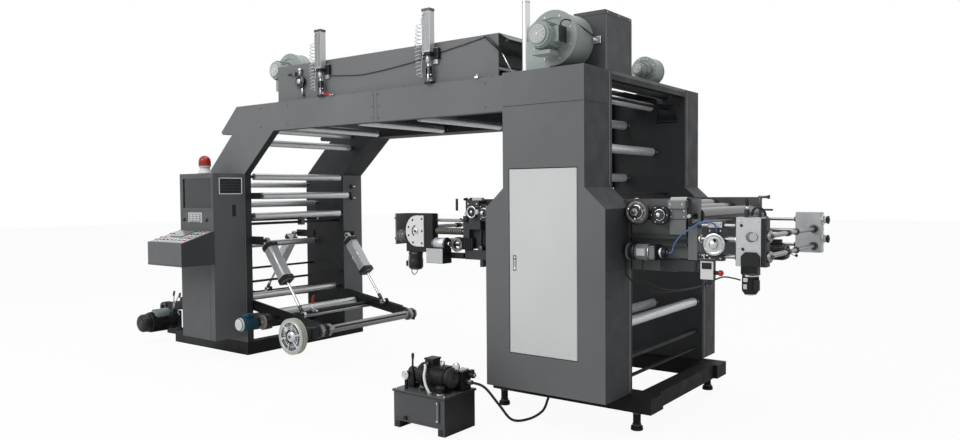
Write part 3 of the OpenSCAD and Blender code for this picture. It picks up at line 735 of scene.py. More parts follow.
    def done(self, body: str) -> bpy.types.Object:
        """Closes the piece and hangs it on its body.

        Args:
            body: the CAD body it rides on.
        Returns:
            The object.
        """
        bmesh.ops.recalc_face_normals(self.mesh, faces=self.mesh.faces)
        data = bpy.data.meshes.new(self.name)
        self.mesh.to_mesh(data)
        self.mesh.free()
        for name in self.names:
            data.materials.append(self.finishes[name])
        piece = bpy.data.objects.new(self.name, data)
        bpy.context.scene.collection.objects.link(piece)
        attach(piece, body)
        log.info("%s: %d faces on %s", self.name, len(data.polygons), body)
        return piece


def smooth_line(points: Sequence[Vector], rounds: int) -> list[Vector]:
    """A smooth line through points, the same as the source's own cords.

    Args:
        points: the points.
        rounds: steps between two of them.
    Returns:
        The line.
    """
    if rounds <= 1:
        return list(points)
    last = len(points) - 1
    line = []
    for i in range(last):
        a, b, c, d = points[max(i - 1, 0)], points[i], points[i + 1], points[min(i + 2, last)]
        for k in range(rounds):
            t = k / rounds
            bend, twist = 2 * a - 5 * b + 4 * c - d, 3 * b - a - 3 * c + d
            line.append(0.5 * (2 * b + (c - a) * t + bend * t * t + twist * t ** 3))
    line.append(points[last])
    return line


def length_of(line: Sequence[Vector]) -> float:
    """The length of a line, in metres."""
    return sum((b - a).length for a, b in zip(line, line[1:]))


# ---------------------------------------------------------------- studio


@dataclass
class Studio:
    """Camera, soft lamps, floor and white surroundings."""

    eye: Point = (2.2577, -4.7887, 1.611)
    azimuth: float = 36.946
    pitch: float = 2.113
    roll: float = -0.446
    sensor_mm: float = 36.0
    focal_px: float = 774.29
    width_px: float = 960.0
    height_px: float = 440.0
    middle: tuple[float, float] = (476.604, 221.1)
    lamps: tuple[tuple[str, Point, Point, float, float], ...] = (
        ("key", (-4.0, -7.0, 6.2), (-3.0, 0.2, 1.2), 6.0, 385.0),
        ("top", (-2.2, 0.8, 7.2), (-2.2, 0.7, 0.0), 6.0, 240.0),
        ("side", (6.2, -0.8, 3.4), (-0.5, 0.6, 1.2), 3.5, 5.0),
    )

    def build(self) -> None:
        """Makes the studio."""
        self.camera()
        self.world()
        for name, place, target, size, power in self.lamps:
            self.lamp(name, Vector(place), Vector(target), size, power)
        self.floor()
        bpy.context.scene.view_settings.view_transform = "Standard"

    def camera(self) -> None:
        """The camera at the photograph's eye and angle."""
        az, pitch, roll = (radians(a) for a in (self.azimuth, self.pitch, self.roll))
        ahead = Vector((-sin(az) * cos(pitch), cos(az) * cos(pitch), -sin(pitch)))
        flat = Vector((cos(az), sin(az), 0))
        up = flat.cross(ahead)
        right = flat * cos(roll) + up * sin(roll)
        top = up * cos(roll) - flat * sin(roll)
        data = bpy.data.cameras.new("camera")
        data.sensor_width = self.sensor_mm
        data.lens = self.focal_px / self.width_px * self.sensor_mm
        data.shift_x = (self.width_px / 2 - self.middle[0]) / self.width_px
        data.shift_y = (self.middle[1] - self.height_px / 2) / self.width_px
        camera = bpy.data.objects.new("camera", data)
        place = Matrix((right, top, -ahead)).transposed().to_4x4()
        place.translation = Vector(self.eye)
        camera.matrix_world = place
        bpy.context.scene.collection.objects.link(camera)
        bpy.context.scene.camera = camera

    def world(self) -> None:
        """Even grey light, seen as white by the eye and in reflections."""
        world = bpy.data.worlds.new("studio")
        bpy.context.scene.world = world
        world.use_nodes = True
        tree = world.node_tree
        tree.nodes.clear()
        out = tree.nodes.new("ShaderNodeOutputWorld")
        seen, light = tree.nodes.new("ShaderNodeBackground"), tree.nodes.new("ShaderNodeBackground")
        mix = tree.nodes.new("ShaderNodeMixShader")
        seen.inputs["Color"].default_value = (1, 1, 1, 1)
        seen.inputs["Strength"].default_value = 1.0
        light.inputs["Color"].default_value = (0.96, 0.98, 1.0, 1)
        light.inputs["Strength"].default_value = 0.46
        path = tree.nodes.new("ShaderNodeLightPath")
        both = tree.nodes.new("ShaderNodeMath")
        both.operation = "MAXIMUM"
        third = tree.nodes.new("ShaderNodeMath")
        third.operation = "MAXIMUM"
        tree.links.new(path.outputs["Is Camera Ray"], both.inputs[0])
        tree.links.new(path.outputs["Is Glossy Ray"], both.inputs[1])
        tree.links.new(both.outputs[0], third.inputs[0])
        tree.links.new(path.outputs["Is Transmission Ray"], third.inputs[1])
        tree.links.new(third.outputs[0], mix.inputs[0])
        tree.links.new(light.outputs[0], mix.inputs[1])
        tree.links.new(seen.outputs[0], mix.inputs[2])
        tree.links.new(mix.outputs[0], out.inputs["Surface"])

    def lamp(self, name: str, place: Vector, target: Vector, size: float, power: float) -> None:
        """One soft square lamp.

        Args:
            name: its name.
            place: where it hangs.
            target: what it points at.
            size: side, metres.
            power: watts.
        """
        data = bpy.data.lights.new(name, "AREA")
        data.shape, data.size, data.energy = "SQUARE", size, power
        lamp = bpy.data.objects.new(name, data)
        lamp.location = place
        lamp.rotation_mode = "QUATERNION"
        lamp.rotation_quaternion = (target - place).to_track_quat("-Z", "Y")
        bpy.context.scene.collection.objects.link(lamp)

    def floor(self) -> None:
        """A pale floor that keeps the press's shadow and fades to white for the eye."""
        mesh = bmesh.new()
        corners = [mesh.verts.new((x, y, -0.0005)) for x, y in ((-40, -40), (40, -40), (40, 40), (-40, 40))]
        mesh.faces.new(corners)
        data = bpy.data.meshes.new("floor")
        mesh.to_mesh(data)
        mesh.free()
        bench = NodeBench("floor_pale")
        tone = bench.mixed(bench.ranged(bench.noise(0.7, 2), 0, 1), (0.80, 0.80, 0.80), (0.82, 0.82, 0.82))
        bench.link(tone, bench.shader.inputs["Base Color"])
        bench.shader.inputs["Roughness"].default_value = 0.9
        glow = bench.node("ShaderNodeEmission")
        glow.inputs["Color"].default_value = (1, 1, 1, 1)
        path = bench.node("ShaderNodeLightPath")
        glow.inputs["Strength"].default_value = 1.0
        mix = bench.node("ShaderNodeMixShader")
        share = bench.node("ShaderNodeMath", operation="MULTIPLY")
        bench.link(path.outputs["Is Camera Ray"], share.inputs[0])
        share.inputs[1].default_value = 0.94
        bench.link(share.outputs[0], mix.inputs[0])
        bench.link(bench.shader.outputs[0], mix.inputs[1])
        bench.link(glow.outputs[0], mix.inputs[2])
        bench.link(mix.outputs[0], bench.out.inputs["Surface"])
        data.materials.append(bench.mat)
        floor = bpy.data.objects.new("floor", data)
        bpy.context.scene.collection.objects.link(floor)


# ---------------------------------------------------------------- finishes of the solids


@dataclass
class SolidDressing:
    """Gives every CAD solid its finish."""

    finishes: Finishes
    plain: dict[str, str] = field(default_factory=lambda: {
        "tower_covers": "frame_grey", "tower_plates": "frame_deep", "tower_base": "base_black",
        "cross_ties": "frame_shade", "door": "door_pale", "heater": "heater_grey", "blowers": "fan_grey",
        "mast": "bright_steel", "bridge_near": "frame_grey_lit", "bridge_far": "frame_shade",
        "stand_base": "base_black", "cabinet": "cabinet_grey", "desk": "desk_grey",
        "beacon": "beacon_red", "drive_motor": "motor_black", "power_tank": "tank_grey",
        "power_pump": "pump_navy", "dryer": "frame_grey_lit", "lifters": "alu", "shafts": "arm_black",
        "cheeks": "plate_mid", "unit_blocks": "block_pale", "unit_rods": "ground_steel",
        "unit_motors": "motor_black", "unit_fittings": "frame_deep", "stand_drive": "drive_teal",
        "hose": "rubber_black", "arms": "arm_black", "arms_back": "arm_black", "reel": "ground_steel",
        "brake_wheel": "rim_green", "arm_idler": "chrome_roll", "barrels": "alu", "barrels_back": "alu",
        "rods": "bright_steel", "rods_back": "bright_steel", "plate_roll": "roll_dark", "ink_roll": "roll_dark",
        "pan_roll": "roll_dark", "plate_roll_b": "roll_dark", "ink_roll_b": "roll_dark",
        # The tower's idlers get the brightened satin: painted light.
        **{f"idler_{k}": "roll_lit" for k in range(13, 19)},
    })

    def zones(self) -> tuple[tuple[str, str, Callable[[Vector, Vector], bool]], ...]:
        """Faces that get another finish than the rest of their solid. Many zones are painted light and shade: a
        darker paint on faces turned to +X stands in for their shade, a lighter one for light on lit faces.

        Returns:
            For each zone the node, the finish and a test of a face's middle (mm, as in the source) and normal.
        """
        wheel = (-3150.0, 340.0)
        return (
            ("brake_wheel", "gap_black", lambda c, n: hypot(c.x - wheel[0], c.z - wheel[1]) < 126),
            ("bridge_near", "frame_shade", lambda c, n: n.x > 0.3 or n.z < -0.3),
            ("unit_fittings", "block_pale", lambda c, n: c.z > 1499 and c.y < 389),
            ("stand_drive", "arm_black", lambda c, n: c.y > 178),
            # Painted shade: the near end block's +X faces in black.
            ("unit_blocks", "motor_black", lambda c, n: c.x > 722 and c.y < 391 and n.x > 0.5),
            ("unit_blocks", "plate_mid", lambda c, n: c.x < -2000),
            ("unit_blocks", "motor_black", lambda c, n: -2000 < c.x < -1700 and c.y < 391),
            ("cheeks", "frame_deep", lambda c, n: c.x < -470),
            # Painted shade: the desk's +X faces darker.
            ("desk", "frame_deep", lambda c, n: n.x > 0.5),
            # Painted light and shade on one body: the far beam carries the shade tone, its column's lower +X faces
            # the plain frame grey.
            ("bridge_far", "frame_grey", lambda c, n: n.x > 0.5 and c.z < 1790),
            # Painted light: the black stand base's front faces in a lighter tone.
            ("stand_base", "frame_side_shading", lambda c, n: n.y < -0.5),
            # Painted shade: the tower covers' +X faces darker.
            ("tower_covers", "frame_deep", lambda c, n: n.x > 0.5),
            # Painted shade: the tower plates' +X faces darker.
            ("tower_plates", "frame_side_shading", lambda c, n: n.x > 0.5),
            # Painted shade: the tank's +X faces in black.
            ("power_tank", "motor_black", lambda c, n: n.x > 0.5),
        )

    def build(self) -> None:
        """Puts each finish on its node, the rolls' satin on the idlers, a brightened satin on the tower's idlers as
        painted light, and each zone's finish on its faces, many of them painted shade and light.
        """
        for name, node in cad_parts.items():
            finish = self.plain.get(name, "chrome_roll")
            node.data.materials.clear()
            node.data.materials.append(self.finishes[finish])
            log.info("%s: %s", name, finish)
        for name, finish, test in self.zones():
            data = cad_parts[name].data
            data.materials.append(self.finishes[finish])
            for face in data.polygons:
                if test(face.center / MM + FOOT, face.normal):
                    face.material_index = len(data.materials) - 1


# ---------------------------------------------------------------- tower


@dataclass
class TowerTrim:
    """Seams, lock, door seal, screws, inner bars and feet of the print tower."""

    finishes: Finishes
    length: float = 940.0
    setback: float = 150.0
    top: float = 2435.0
    shoulder: float = 1500.0
    slope_top: float = 1640.0
    depth: float = 360.0
    far: float = 1967.0
    near_in: float = 388.0
    far_in: float = 1680.0
    seam_z: float = 2200.0

    def build(self) -> None:
        """Builds every piece of the tower's trim."""
        self.seams()
        self.lock()
        self.seal()
        self.side_screws()
        self.inside()
        self.feet()

    def seams(self) -> None:
        """Header seam, folded sheet edges and the far cover's seams."""
        p = Part("tower_seams", self.finishes, "gap_black", "frame_grey", "dark_steel")
        x0, x1 = -self.length + self.setback, -self.setback
        p.box((x0 + 2, -0.8, self.seam_z), (x1 - 2, 0.6, self.seam_z + 3), 0, 0)
        p.box((x1 - 0.4, 2, self.seam_z), (x1 + 0.8, self.depth - 2, self.seam_z + 3), 0, 0)
        p.box((x0 - 0.8, 2, self.seam_z), (x0 + 0.4, self.depth - 2, self.seam_z + 3), 0, 0)
        for x, out in ((-0.4, 1), (-self.length + 0.4, -1)):
            p.box((min(x, x + out), 4, 1100), (max(x, x + out), self.depth - 4, 1102.5), 0, 0)
        # folded flanges of the covers towards the side plates
        for y in (self.depth - 22, self.far - 259):
            for x, z0, z1 in ((x1 + 0.2, self.slope_top + 14, self.top - 6), (0.2, 260, self.shoulder - 12)):
                p.box((x, y, z0), (x + 1.6, y + 22, z1), 1, 0.6)
        p.screws(Y, [(x, self.far, z) for x in (-900, -40) for z in (300, 800, 1300)], 7, 3, 2, 1)
        p.screws(Y, [(x, self.far, z) for x in (x0 + 40, x1 - 40) for z in (1750, 2350)], 7, 3, 2, 1)
        p.box((x0 + 2, self.far - 0.6, self.seam_z), (x1 - 2, self.far + 0.8, self.seam_z + 3), 0, 0)
        p.done("frame")

    def lock(self) -> None:
        """The door's flush swing handle with its lock."""
        p = Part("door_lock", self.finishes, "gap_black", "bright_steel", "dark_steel")
        x0, x1, z0, z1 = -709.0, -681.0, 1070.0, 1176.0
        p.box((x0 + 0.5, 3.5, z0 + 0.5), (x1 - 0.5, 6.8, z1 - 0.5), 0, 0.5)
        p.box((x0 + 4, -1.5, z0 + 5), (x1 - 4, 4.5, z1 - 30), 1, 3)
        p.rod(Y, ((x0 + x1) / 2, -2.5, z1 - 16), 8, 9, 1, 24)
        p.box(((x0 + x1) / 2 - 1, -3.1, z1 - 21), ((x0 + x1) / 2 + 1, -2.2, z1 - 11), 2, 0)
        p.ring(Y, ((x0 + x1) / 2, -2.2, z0 + 16), 5, 7, 3, 1, 20)
        p.done("door")

    def seal(self) -> None:
        """Rubber seal round the door's opening, seen in the gap."""
        p = Part("door_seal", self.finishes, "rubber_black")
        x0, x1, z0, z1 = -735.0 - 6, -205.0 + 6, 502.0 - 6, 1768.0 + 6
        y0, y1 = 22.4, 27.0
        p.box((x0 + 12, y0, z0 + 2), (x0 + 20, y1, z1 - 2), 0, 1)
        p.box((x1 - 20, y0, z0 + 2), (x1 - 12, y1, z1 - 2), 0, 1)
        p.box((x0 + 20, y0, z0 + 2), (x1 - 20, y1, z0 + 10), 0, 1)
        p.box((x0 + 20, y0, z1 - 10), (x1 - 20, y1, z1 - 2), 0, 1)
        p.done("frame")

    def side_screws(self) -> None:
        """Screw heads on the side plates round the shafts and on the shoulders."""
        p = Part("tower_screws", self.finishes, "dark_steel", "bright_steel")
        shafts = [(-435, 2310), (-424, 1937), (-60, 712), (-410, 677), (-676, 2170), (-676, 1726)]
        for x, z in shafts:
            for dx, dz in ((-30, 0), (30, 0)):
                p.screw(Y, (x + dx, self.near_in, z + dz), 6, 5, 1, 1)
                p.screw(Y, (x + dx, self.far_in, z + dz), 6, 5, 1, -1)
        for z in (560, 760, 960):
            for x in (-870, -70):
                p.screw(Y, (x, self.near_in, z), 8, 6, 0, 1)
                p.screw(Y, (x, self.far_in, z), 8, 6, 0, -1)
        # the small clamp on the outer shoulder
        p.rod(X, (0, 330, 1452), 14, 11, 0, 6)
        p.rod(X, (14, 330, 1452), 12, 6, 1, 16)
        p.done("frame")

    def inside(self) -> None:
        """Spreader bars, cable duct, flat bars and the dark service window."""
        p = Part("tower_inside", self.finishes, "frame_deep", "ground_steel", "base_black", "glass_dark",
            "frame_grey")
        y0, y1 = self.near_in, self.far_in
        p.box((-390, y1 - 4, 2190), (-215, y1 - 0.5, 2330), 3, 1)
        rim = ((-400, 2330, -205, 2338), (-400, 2182, -205, 2190), (-400, 2190, -392, 2330), (-213, 2190, -205, 2330))
        for x0, z0, x1, z1 in rim:
            p.box((x0, y1 - 10, z0), (x1, y1 - 0.4, z1), 0, 1)
        p.rod(Y, (-250, y0 + 0.5, 2405), y1 - y0 - 1, 17, 1, 20)
        p.rod(Y, (-310, y0 + 0.5, 2290), y1 - y0 - 1, 11, 2, 16)
        p.box((-330, y0 + 0.5, 1585), (-300, y1 - 0.5, 1597), 2, 1)
        p.box((-560, y0 + 0.5, 1180), (-530, y1 - 0.5, 1192), 2, 1)
        # inner flange of the far plate, roof sheet, and the folded edge along the top tie
        p.box((-789, y1 - 80, 1642), (-785, y1 - 0.3, 2380), 2, 0)
        p.box((-660, y0 + 700, 2376), (-400, y1 - 0.4, 2379), 2, 0)
        p.box((-150.4, y0 + 0.5, 2412), (-148.8, y1 - 0.5, 2434), 4, 0.4)
        p.done("frame")

    def feet(self) -> None:
        """Levelling nuts and spindles of the four round feet, and end caps of the rails."""
        p = Part("tower_feet", self.finishes, "dark_steel", "bright_steel", "rubber_black")
        for x in (-1050, 40):
            for y in (376, 1694):
                p.rod(Z, (x, y, 26.2), 16, 34, 0, 6)
                p.rod(Z, (x, y, 108), 14, 32, 0, 6)
                p.ring(Z, (x, y, 2), 9, 41.5, 40.1, 2, 40)
        p.done("frame")


@dataclass
class RoofTrim:
    """Fans, heater, cable and mast on the tower's roof."""

    finishes: Finishes
    fan_x: float = -427.0
    fan_z: float = 2640.0
    near_y: float = 70.0
    roof: float = 2435.0

    def build(self) -> None:
        """Builds the roof's pieces."""
        self.near_fan()
        self.far_fan()
        self.heater()
        self.mast()

    def near_fan(self) -> None:
        """Guard, fins, terminal box, rim and cable of the operator-side fan."""
        x, z, y = self.fan_x, self.fan_z, self.near_y
        p = Part("fan_near_trim", self.finishes, "fan_grey", "white_paint", "motor_black", "bright_steel",
            "rubber_black")
        p.guard((x, y - 190, z), 62, 62 * 0.94)
        p.rod(Y, (x, y - 196, z), 7, 62 * 0.16, 1, 24)
        p.fins(Y, (x, z), (y - 158, y - 22), 91, 28, (5, 5), 1.4, keep=lambda a: -0.45 < cos(a) <= 0.86)
        p.box((x + 118, y - 118, z - 52), (x + 124, y - 24, z + 52), 2, 3)
        p.rod(Z, (x + 100, y - 60, z + 50), 12, 11, 4, 16)
        p.bolts((x, y, z), 150, 8, 7, 5, 3, -1, pi / 8)
        p.box((x - 70, y - 150, z - 128), (x + 70, y - 40, z - 100), 0, 4)
        p.box((x - 216, y - 4, self.roof), (x - 14, y + 240, self.roof + 8), 0, 1)
        p.ring(Y, (x, y + 6.3, z), 6, 134.8, 120, 4, 48)
        p.tube([(x + 100, y - 60, z + 60), (x + 104, y - 56, z + 88), (x + 132, y - 20, z + 100),
            (x + 165, y + 90, z + 70), (x + 196, y + 206, z + 22)], 4.5, 4)
        p.box((x + 176, 286, z - 30), (x + 246, 300, z + 16), 3, 2)
        p.rod(Y, (x + 200, 268, z - 4), 18, 12, 3, 20)
        p.done("frame")

    def far_fan(self) -> None:
        """Guard, bolts and fins of the smaller fan above the web."""
        x, z, y, k = -290.0, self.roof + 112, 1198.0, 100 / 180
        p = Part("fan_far_trim", self.finishes, "fan_grey", "white_paint", "bright_steel", "motor_black")
        p.guard((x, y - 120, z), 62 * k, 62 * k * 0.94)
        p.rod(Y, (x, y - 126, z), 7, 62 * k * 0.16, 1, 24)
        p.fins(Y, (x, z), (y - 86, y - 24), 92 * k, 20, (4, 4), 1.2, keep=lambda a: cos(a) < 0.84)
        p.bolts((x, y, z), 88, 8, 5, 4, 2, -1, pi / 8)
        p.done("frame")

    def heater(self) -> None:
        """Lid seam, screws and louvres of the heater box."""
        p = Part("heater_trim", self.finishes, "gap_black", "bright_steel", "frame_grey")
        x0, x1, y0, y1, z0, z1 = -396.0, -154.0, 300.0, 700.0, 2435.0, 2835.0
        p.box((x1 - 0.4, y0 + 3, z1 - 30), (x1 + 0.7, y1 - 3, z1 - 28), 0, 0)
        p.box((x0 + 3, y0 - 0.7, z1 - 30), (x1 - 3, y0 + 0.4, z1 - 28), 0, 0)
        p.screws(X, [(x1, y, z1 - 14) for y in (330, 500, 670)], 5, 3, 1, 1)
        p.box((x1 - 0.5, y0 + 1, z0 + 1), (x1 + 2, y0 + 22, z1 - 32), 2, 0.8)
        p.box((x1 - 0.5, y1 - 22, z0 + 1), (x1 + 2, y1 - 1, z1 - 32), 2, 0.8)
        for z in range(2500, 2640, 16):
            p.box((x0 + 30, y1 - 0.5, z), (x1 - 30, y1 + 6, z + 5), 2, 1.5)
        p.done("frame")

    def mast(self) -> None:
        """The flue's lower collar and top cap."""
        p = Part("mast_trim", self.finishes, "bright_steel", "dark_steel")
        x, y = -722.0, 200.0
        p.ring(Z, (x, y, self.roof + 505), 15, 30.5, 25, 0)
        p.ring(Z, (x, y, self.roof + 10.2), 26, 33, 29.2, 0)
        p.screws(Z, [(x + 37 * cos(a), y + 37 * sin(a), self.roof + 10) for a in (0.5, 2.1, 3.7, 5.2)], 5, 4, 1, 1)
        p.done("frame")


# ---------------------------------------------------------------- bridge and hood


@dataclass
class Hose:
    """A free hose or cable with a real length, built as a tube along its points."""

    finishes: Finishes
    name: str
    body: str
    points: Sequence[Point]
    radius: float
    finish: str
    slot: str = "hose_black"
    lay: str = "taut"
    far_end: str = "object"
    stiffness: str = "medium"
    rounds: int = 6
    sides: int = 10

    def build(self) -> bpy.types.Object:
        """Returns:
            The piece.
        """
        p = Part(self.name, self.finishes, self.finish)
        line = p.tube(self.points, self.radius, 0, self.sides, self.rounds)
        piece = p.done(self.body)
        log.info("%s: %.2f m long", self.name, length_of(line))
        return piece


def coil_points(x: float, y: float, z0: float, z1: float, radius: float, turns: int,
        lean: tuple[float, float] = (0, 0)) -> list[Point]:
    """The points of an upright spiral hose.

    Args:
        x: middle, mm.
        y: middle, mm.
        z0: lower end, mm.
        z1: upper end, mm.
        radius: of the turns, mm.
        turns: how many.
        lean: how far the middle bulges out in x and y, mm.
    Returns:
        The points.
    """
    made = []
    count = turns * 10
    for i in range(count + 1):
        t = i / count
        a = 2 * pi * turns * t
        bulge = sin(pi * t)
        px, py = x + lean[0] * bulge + radius * cos(a), y + lean[1] * bulge + radius * sin(a)
        made.append((px, py, z0 + (z1 - z0) * t))
    return made


@dataclass
class HoodTrim:
    """Lifters, gas strut, adjuster, fan, cable and flap of the hot-air hood."""

    finishes: Finishes
    beam_top: float = 2484.0
    top: float = 2815.0
    left: float = -3680.0
    right: float = -1100.0
    face: float = 400.0
    far: float = 1650.0
    lifter_x: tuple[float, float] = (-3026.0, -1754.0)

    def build(self) -> None:
        """Builds the hood's pieces."""
        self.shell()
        self.strut()
        self.adjuster()
        self.hood_fan()
        for k, x in enumerate(self.lifter_x):
            self.lifter(k, x)
        self.nozzles()

    def shell(self) -> None:
        """Folded rims, screws, the end flap and the cable along the face."""
        p = Part("hood_shell_trim", self.finishes, "frame_grey_lit", "dark_steel", "rubber_black", "frame_deep")
        y, z = self.face, self.beam_top
        p.box((self.left + 2, y - 3, z + 1), (self.right - 2, y + 0.5, z + 18), 0, 1)
        p.box((self.right - 24, y - 2.5, z + 18), (self.right - 1, y + 0.5, self.top - 2), 0, 1)
        p.screws(Y, [(x, y - 3, z + 10) for x in range(-3560, -1150, 300)], 5, 3, 1, -1)
        # flap at the open end, tilted up, with its hinge tube
        flap = [(-2, -1), (92, -58), (90, -62), (-4, -5)]
        p.plate([(self.right + dx, self.top + dz) for dx, dz in flap], Y, y + 14, self.far - 14, 0)
        p.rod(Y, (self.right + 3, self.face + 10, self.top - 9), self.far - self.face - 20, 7, 3, 16)
        p.rod(Y, (self.right + 60, self.face + 20, self.top - 62), self.far - self.face - 40, 14, 3, 16)
        cable = [(-2945, 2667), (-2760, 2652), (-2554, 2640), (-2250, 2656), (-1952, 2686), (-1675, 2728),
                 (-1430, 2764), (-1228, 2796)]
        p.tube([(x, y - 5, z) for x, z in cable], 4, 2)
        for x, z in cable[2:7:2]:
            p.box((x - 9, y - 10, z - 6), (x + 9, y + 0.4, z + 6), 1, 1)
        p.done("frame")

    def strut(self) -> None:
        """The gas strut of the flap: body, bright rod and ball ends."""
        p = Part("hood_strut", self.finishes, "motor_black", "bright_steel", "dark_steel")
        a, b, c = Vector((-1213, 384, 2800)), Vector((-1066, 384, 2670)), Vector((-968, 384, 2500))
        p.tube([a, b], 11, 0, 16, 1)
        p.tube([b, b + (c - b) * 0.98], 4.5, 1, 12, 1)
        p.rod(Y, (a.x, 376, a.z), 24, 9, 2, 16)
        p.rod(Y, (c.x, 376, c.z), 20, 8, 2, 16)
        p.box((c.x - 14, 372, 2484), (c.x + 14, 396, c.z - 4), 2, 2)
        p.box((a.x - 10, 395, a.z - 8), (a.x + 10, 400.4, a.z + 12), 2, 1)
        p.done("frame")

    def adjuster(self) -> None:
        """The star handle, worm housing and its two lugs on the hood's face."""
        p = Part("hood_adjuster", self.finishes, "dark_steel", "bright_steel", "alu", "cast_grey")
        x, z, y = -3330.0, 2648.0, self.face
        p.rod(Y, (x, y - 34, z), 34.4, 46, 0, 32)
        p.ring(Y, (x, y - 40, z), 8, 58, 44, 0, 36)
        p.rod(Y, (x, y - 52, z), 18, 24, 2, 24)
        for k in range(6):
            a = pi * k / 3 + 0.3
            p.rod(Y, (x + 58 * cos(a), y - 42, z + 58 * sin(a)), 12, 7, 0, 12)
        p.rod(Z, (x - 6, y - 22, z + 60), 44, 12, 2, 16)
        p.rod(Z, (x - 6, y - 22, z + 100), 20, 20, 1, 16)
        p.rod(X, (x - 150, y - 26, z + 80), 86, 8, 0, 12)
        p.rod(X, (x - 164, y - 26, z + 80), 20, 14, 0, 12)
        p.box((x - 96, y - 36, z + 62), (x - 70, y + 0.4, z + 98), 3, 3)
        p.rod(Z, (x + 20, y - 20, z - 118), 66, 9, 1, 12)
        p.box((x + 4, y - 34, z - 130), (x + 36, y + 0.4, z - 112), 3, 3)
        p.done("frame")

    def hood_fan(self) -> None:
        """Guard, fins, seams and screws of the fan on the hood's end."""
        p = Part("hood_fan_trim", self.finishes, "fan_grey", "white_paint", "motor_grey", "bright_steel")
        x, y, z = self.left - 186.0, self.face + 290.0, self.top + 10.0
        p.guard((x, y - 190, z), 62, 58)
        p.fins(Y, (x, z), (y - 158, y - 22), 91, 28, (5, 5), 1.4, keep=lambda a: -0.9 < cos(a) <= 0.86)
        p.bolts((x, y, z), 150, 8, 7, 5, 3, -1, pi / 8)
        p.ring(Y, (x, y + 66, z), 8, 182, 179.7, 0, 64)
        p.box((self.left - 12, y + 2, z - 186), (self.left - 0.4, y + 138, z - 50), 0, 2)
        p.done("frame")

    def lifter(self, number: int, x: float) -> None:
        """Caps, tie rods, fork, bracket and coil hose of one lift cylinder.

        Args:
            number: 0 or 1, from the left.
            x: the cylinder's middle, mm.
        """
        y, z = 348.0, 2714.0
        p = Part(f"lifter_trim_{number + 1}", self.finishes, "alu", "dark_steel", "bright_steel", "motor_black")
        for s in (-21, 21):
            p.box((x + s - 22, y - 33, z + 343), (x + s + 22, y + 33, z + 366), 1, 5)
            p.ring(Z, (x + s, y, z + 366), 3, 12, 6, 2, 24)
            for dx in (-15, 15):
                for dy in (-26, 26):
                    p.rod(Z, (x + s + dx, y + dy, z + 366), 7, 4, 2, 8)
            for dx in (-11, 0, 11):
                p.box((x + s + dx - 1.4, y - 32, z + 30), (x + s + dx + 1.4, y - 29.4, z + 338), 1, 0.6)
        p.box((x - 46, y - 36, z - 4), (x + 46, y + 36, z + 20), 3, 4)
        p.rod(Z, (x, y, z - 60), 56, 20, 0, 24)
        p.rod(Z, (x, y, z - 150), 96, 8, 2, 16)
        p.box((x - 24, y - 18, z - 176), (x - 12, y + 18, z - 96), 1, 3)
        p.box((x + 12, y - 18, z - 176), (x + 24, y + 18, z - 96), 1, 3)
        p.box((x - 24, y - 18, z - 104), (x + 24, y + 18, z - 90), 1, 3)
        p.rod(X, (x - 32, y, z - 160), 64, 8, 2, 16)
        p.rod(Z, (x, y, self.beam_top + 20), z - 170 - self.beam_top, 11, 2, 16)
        p.box((x - 34, y - 16, self.beam_top), (x + 34, y + 30, self.beam_top + 20), 3, 3)
        p.screws(Z, [(x - 24, y + 8, self.beam_top + 20), (x + 24, y + 8, self.beam_top + 20)], 6, 5, 2, 1)
        p.box((x + 30, y + 20, z - 34), (x + 86, y + 52, z + 52), 3, 4)
        for port in (z + 320, z + 4):
            p.rod(Y, (x - 21, y - 44, port), 14, 7, 2, 12)
        p.done("frame")
        Hose(self.finishes, f"lifter_coil_{number + 1}", "frame",
             [(x - 36, y - 6, z + 34), (x - 48, y - 6, z + 20), (x - 66, y - 6, z - 60), (x - 68, y - 10, z - 120)]
             + coil_points(x - 88, y - 6, z - 170, z + 250, 24, 14, (-16, 0))
             + [(x - 66, y - 8, z + 284), (x - 52, y - 6, z + 304), (x - 38, y - 6, z + 310)],
             3.0, "hose_clear", lay="hanging", rounds=2, sides=6, stiffness="medium").build()

    def nozzles(self) -> None:
        """Air nozzles and the web guide bars under the hood."""
        p = Part("hood_nozzles", self.finishes, "frame_deep", "ground_steel")
        for k in range(8):
            x = self.left + 200 + k * 310
            p.box((x, self.face + 8, self.beam_top + 120), (x + 120, self.far - 8, self.beam_top + 200), 0, 4)
            p.box((x + 44, self.face + 8, self.beam_top + 96), (x + 76, self.far - 8, self.beam_top + 121), 1, 3)
        p.done("frame")


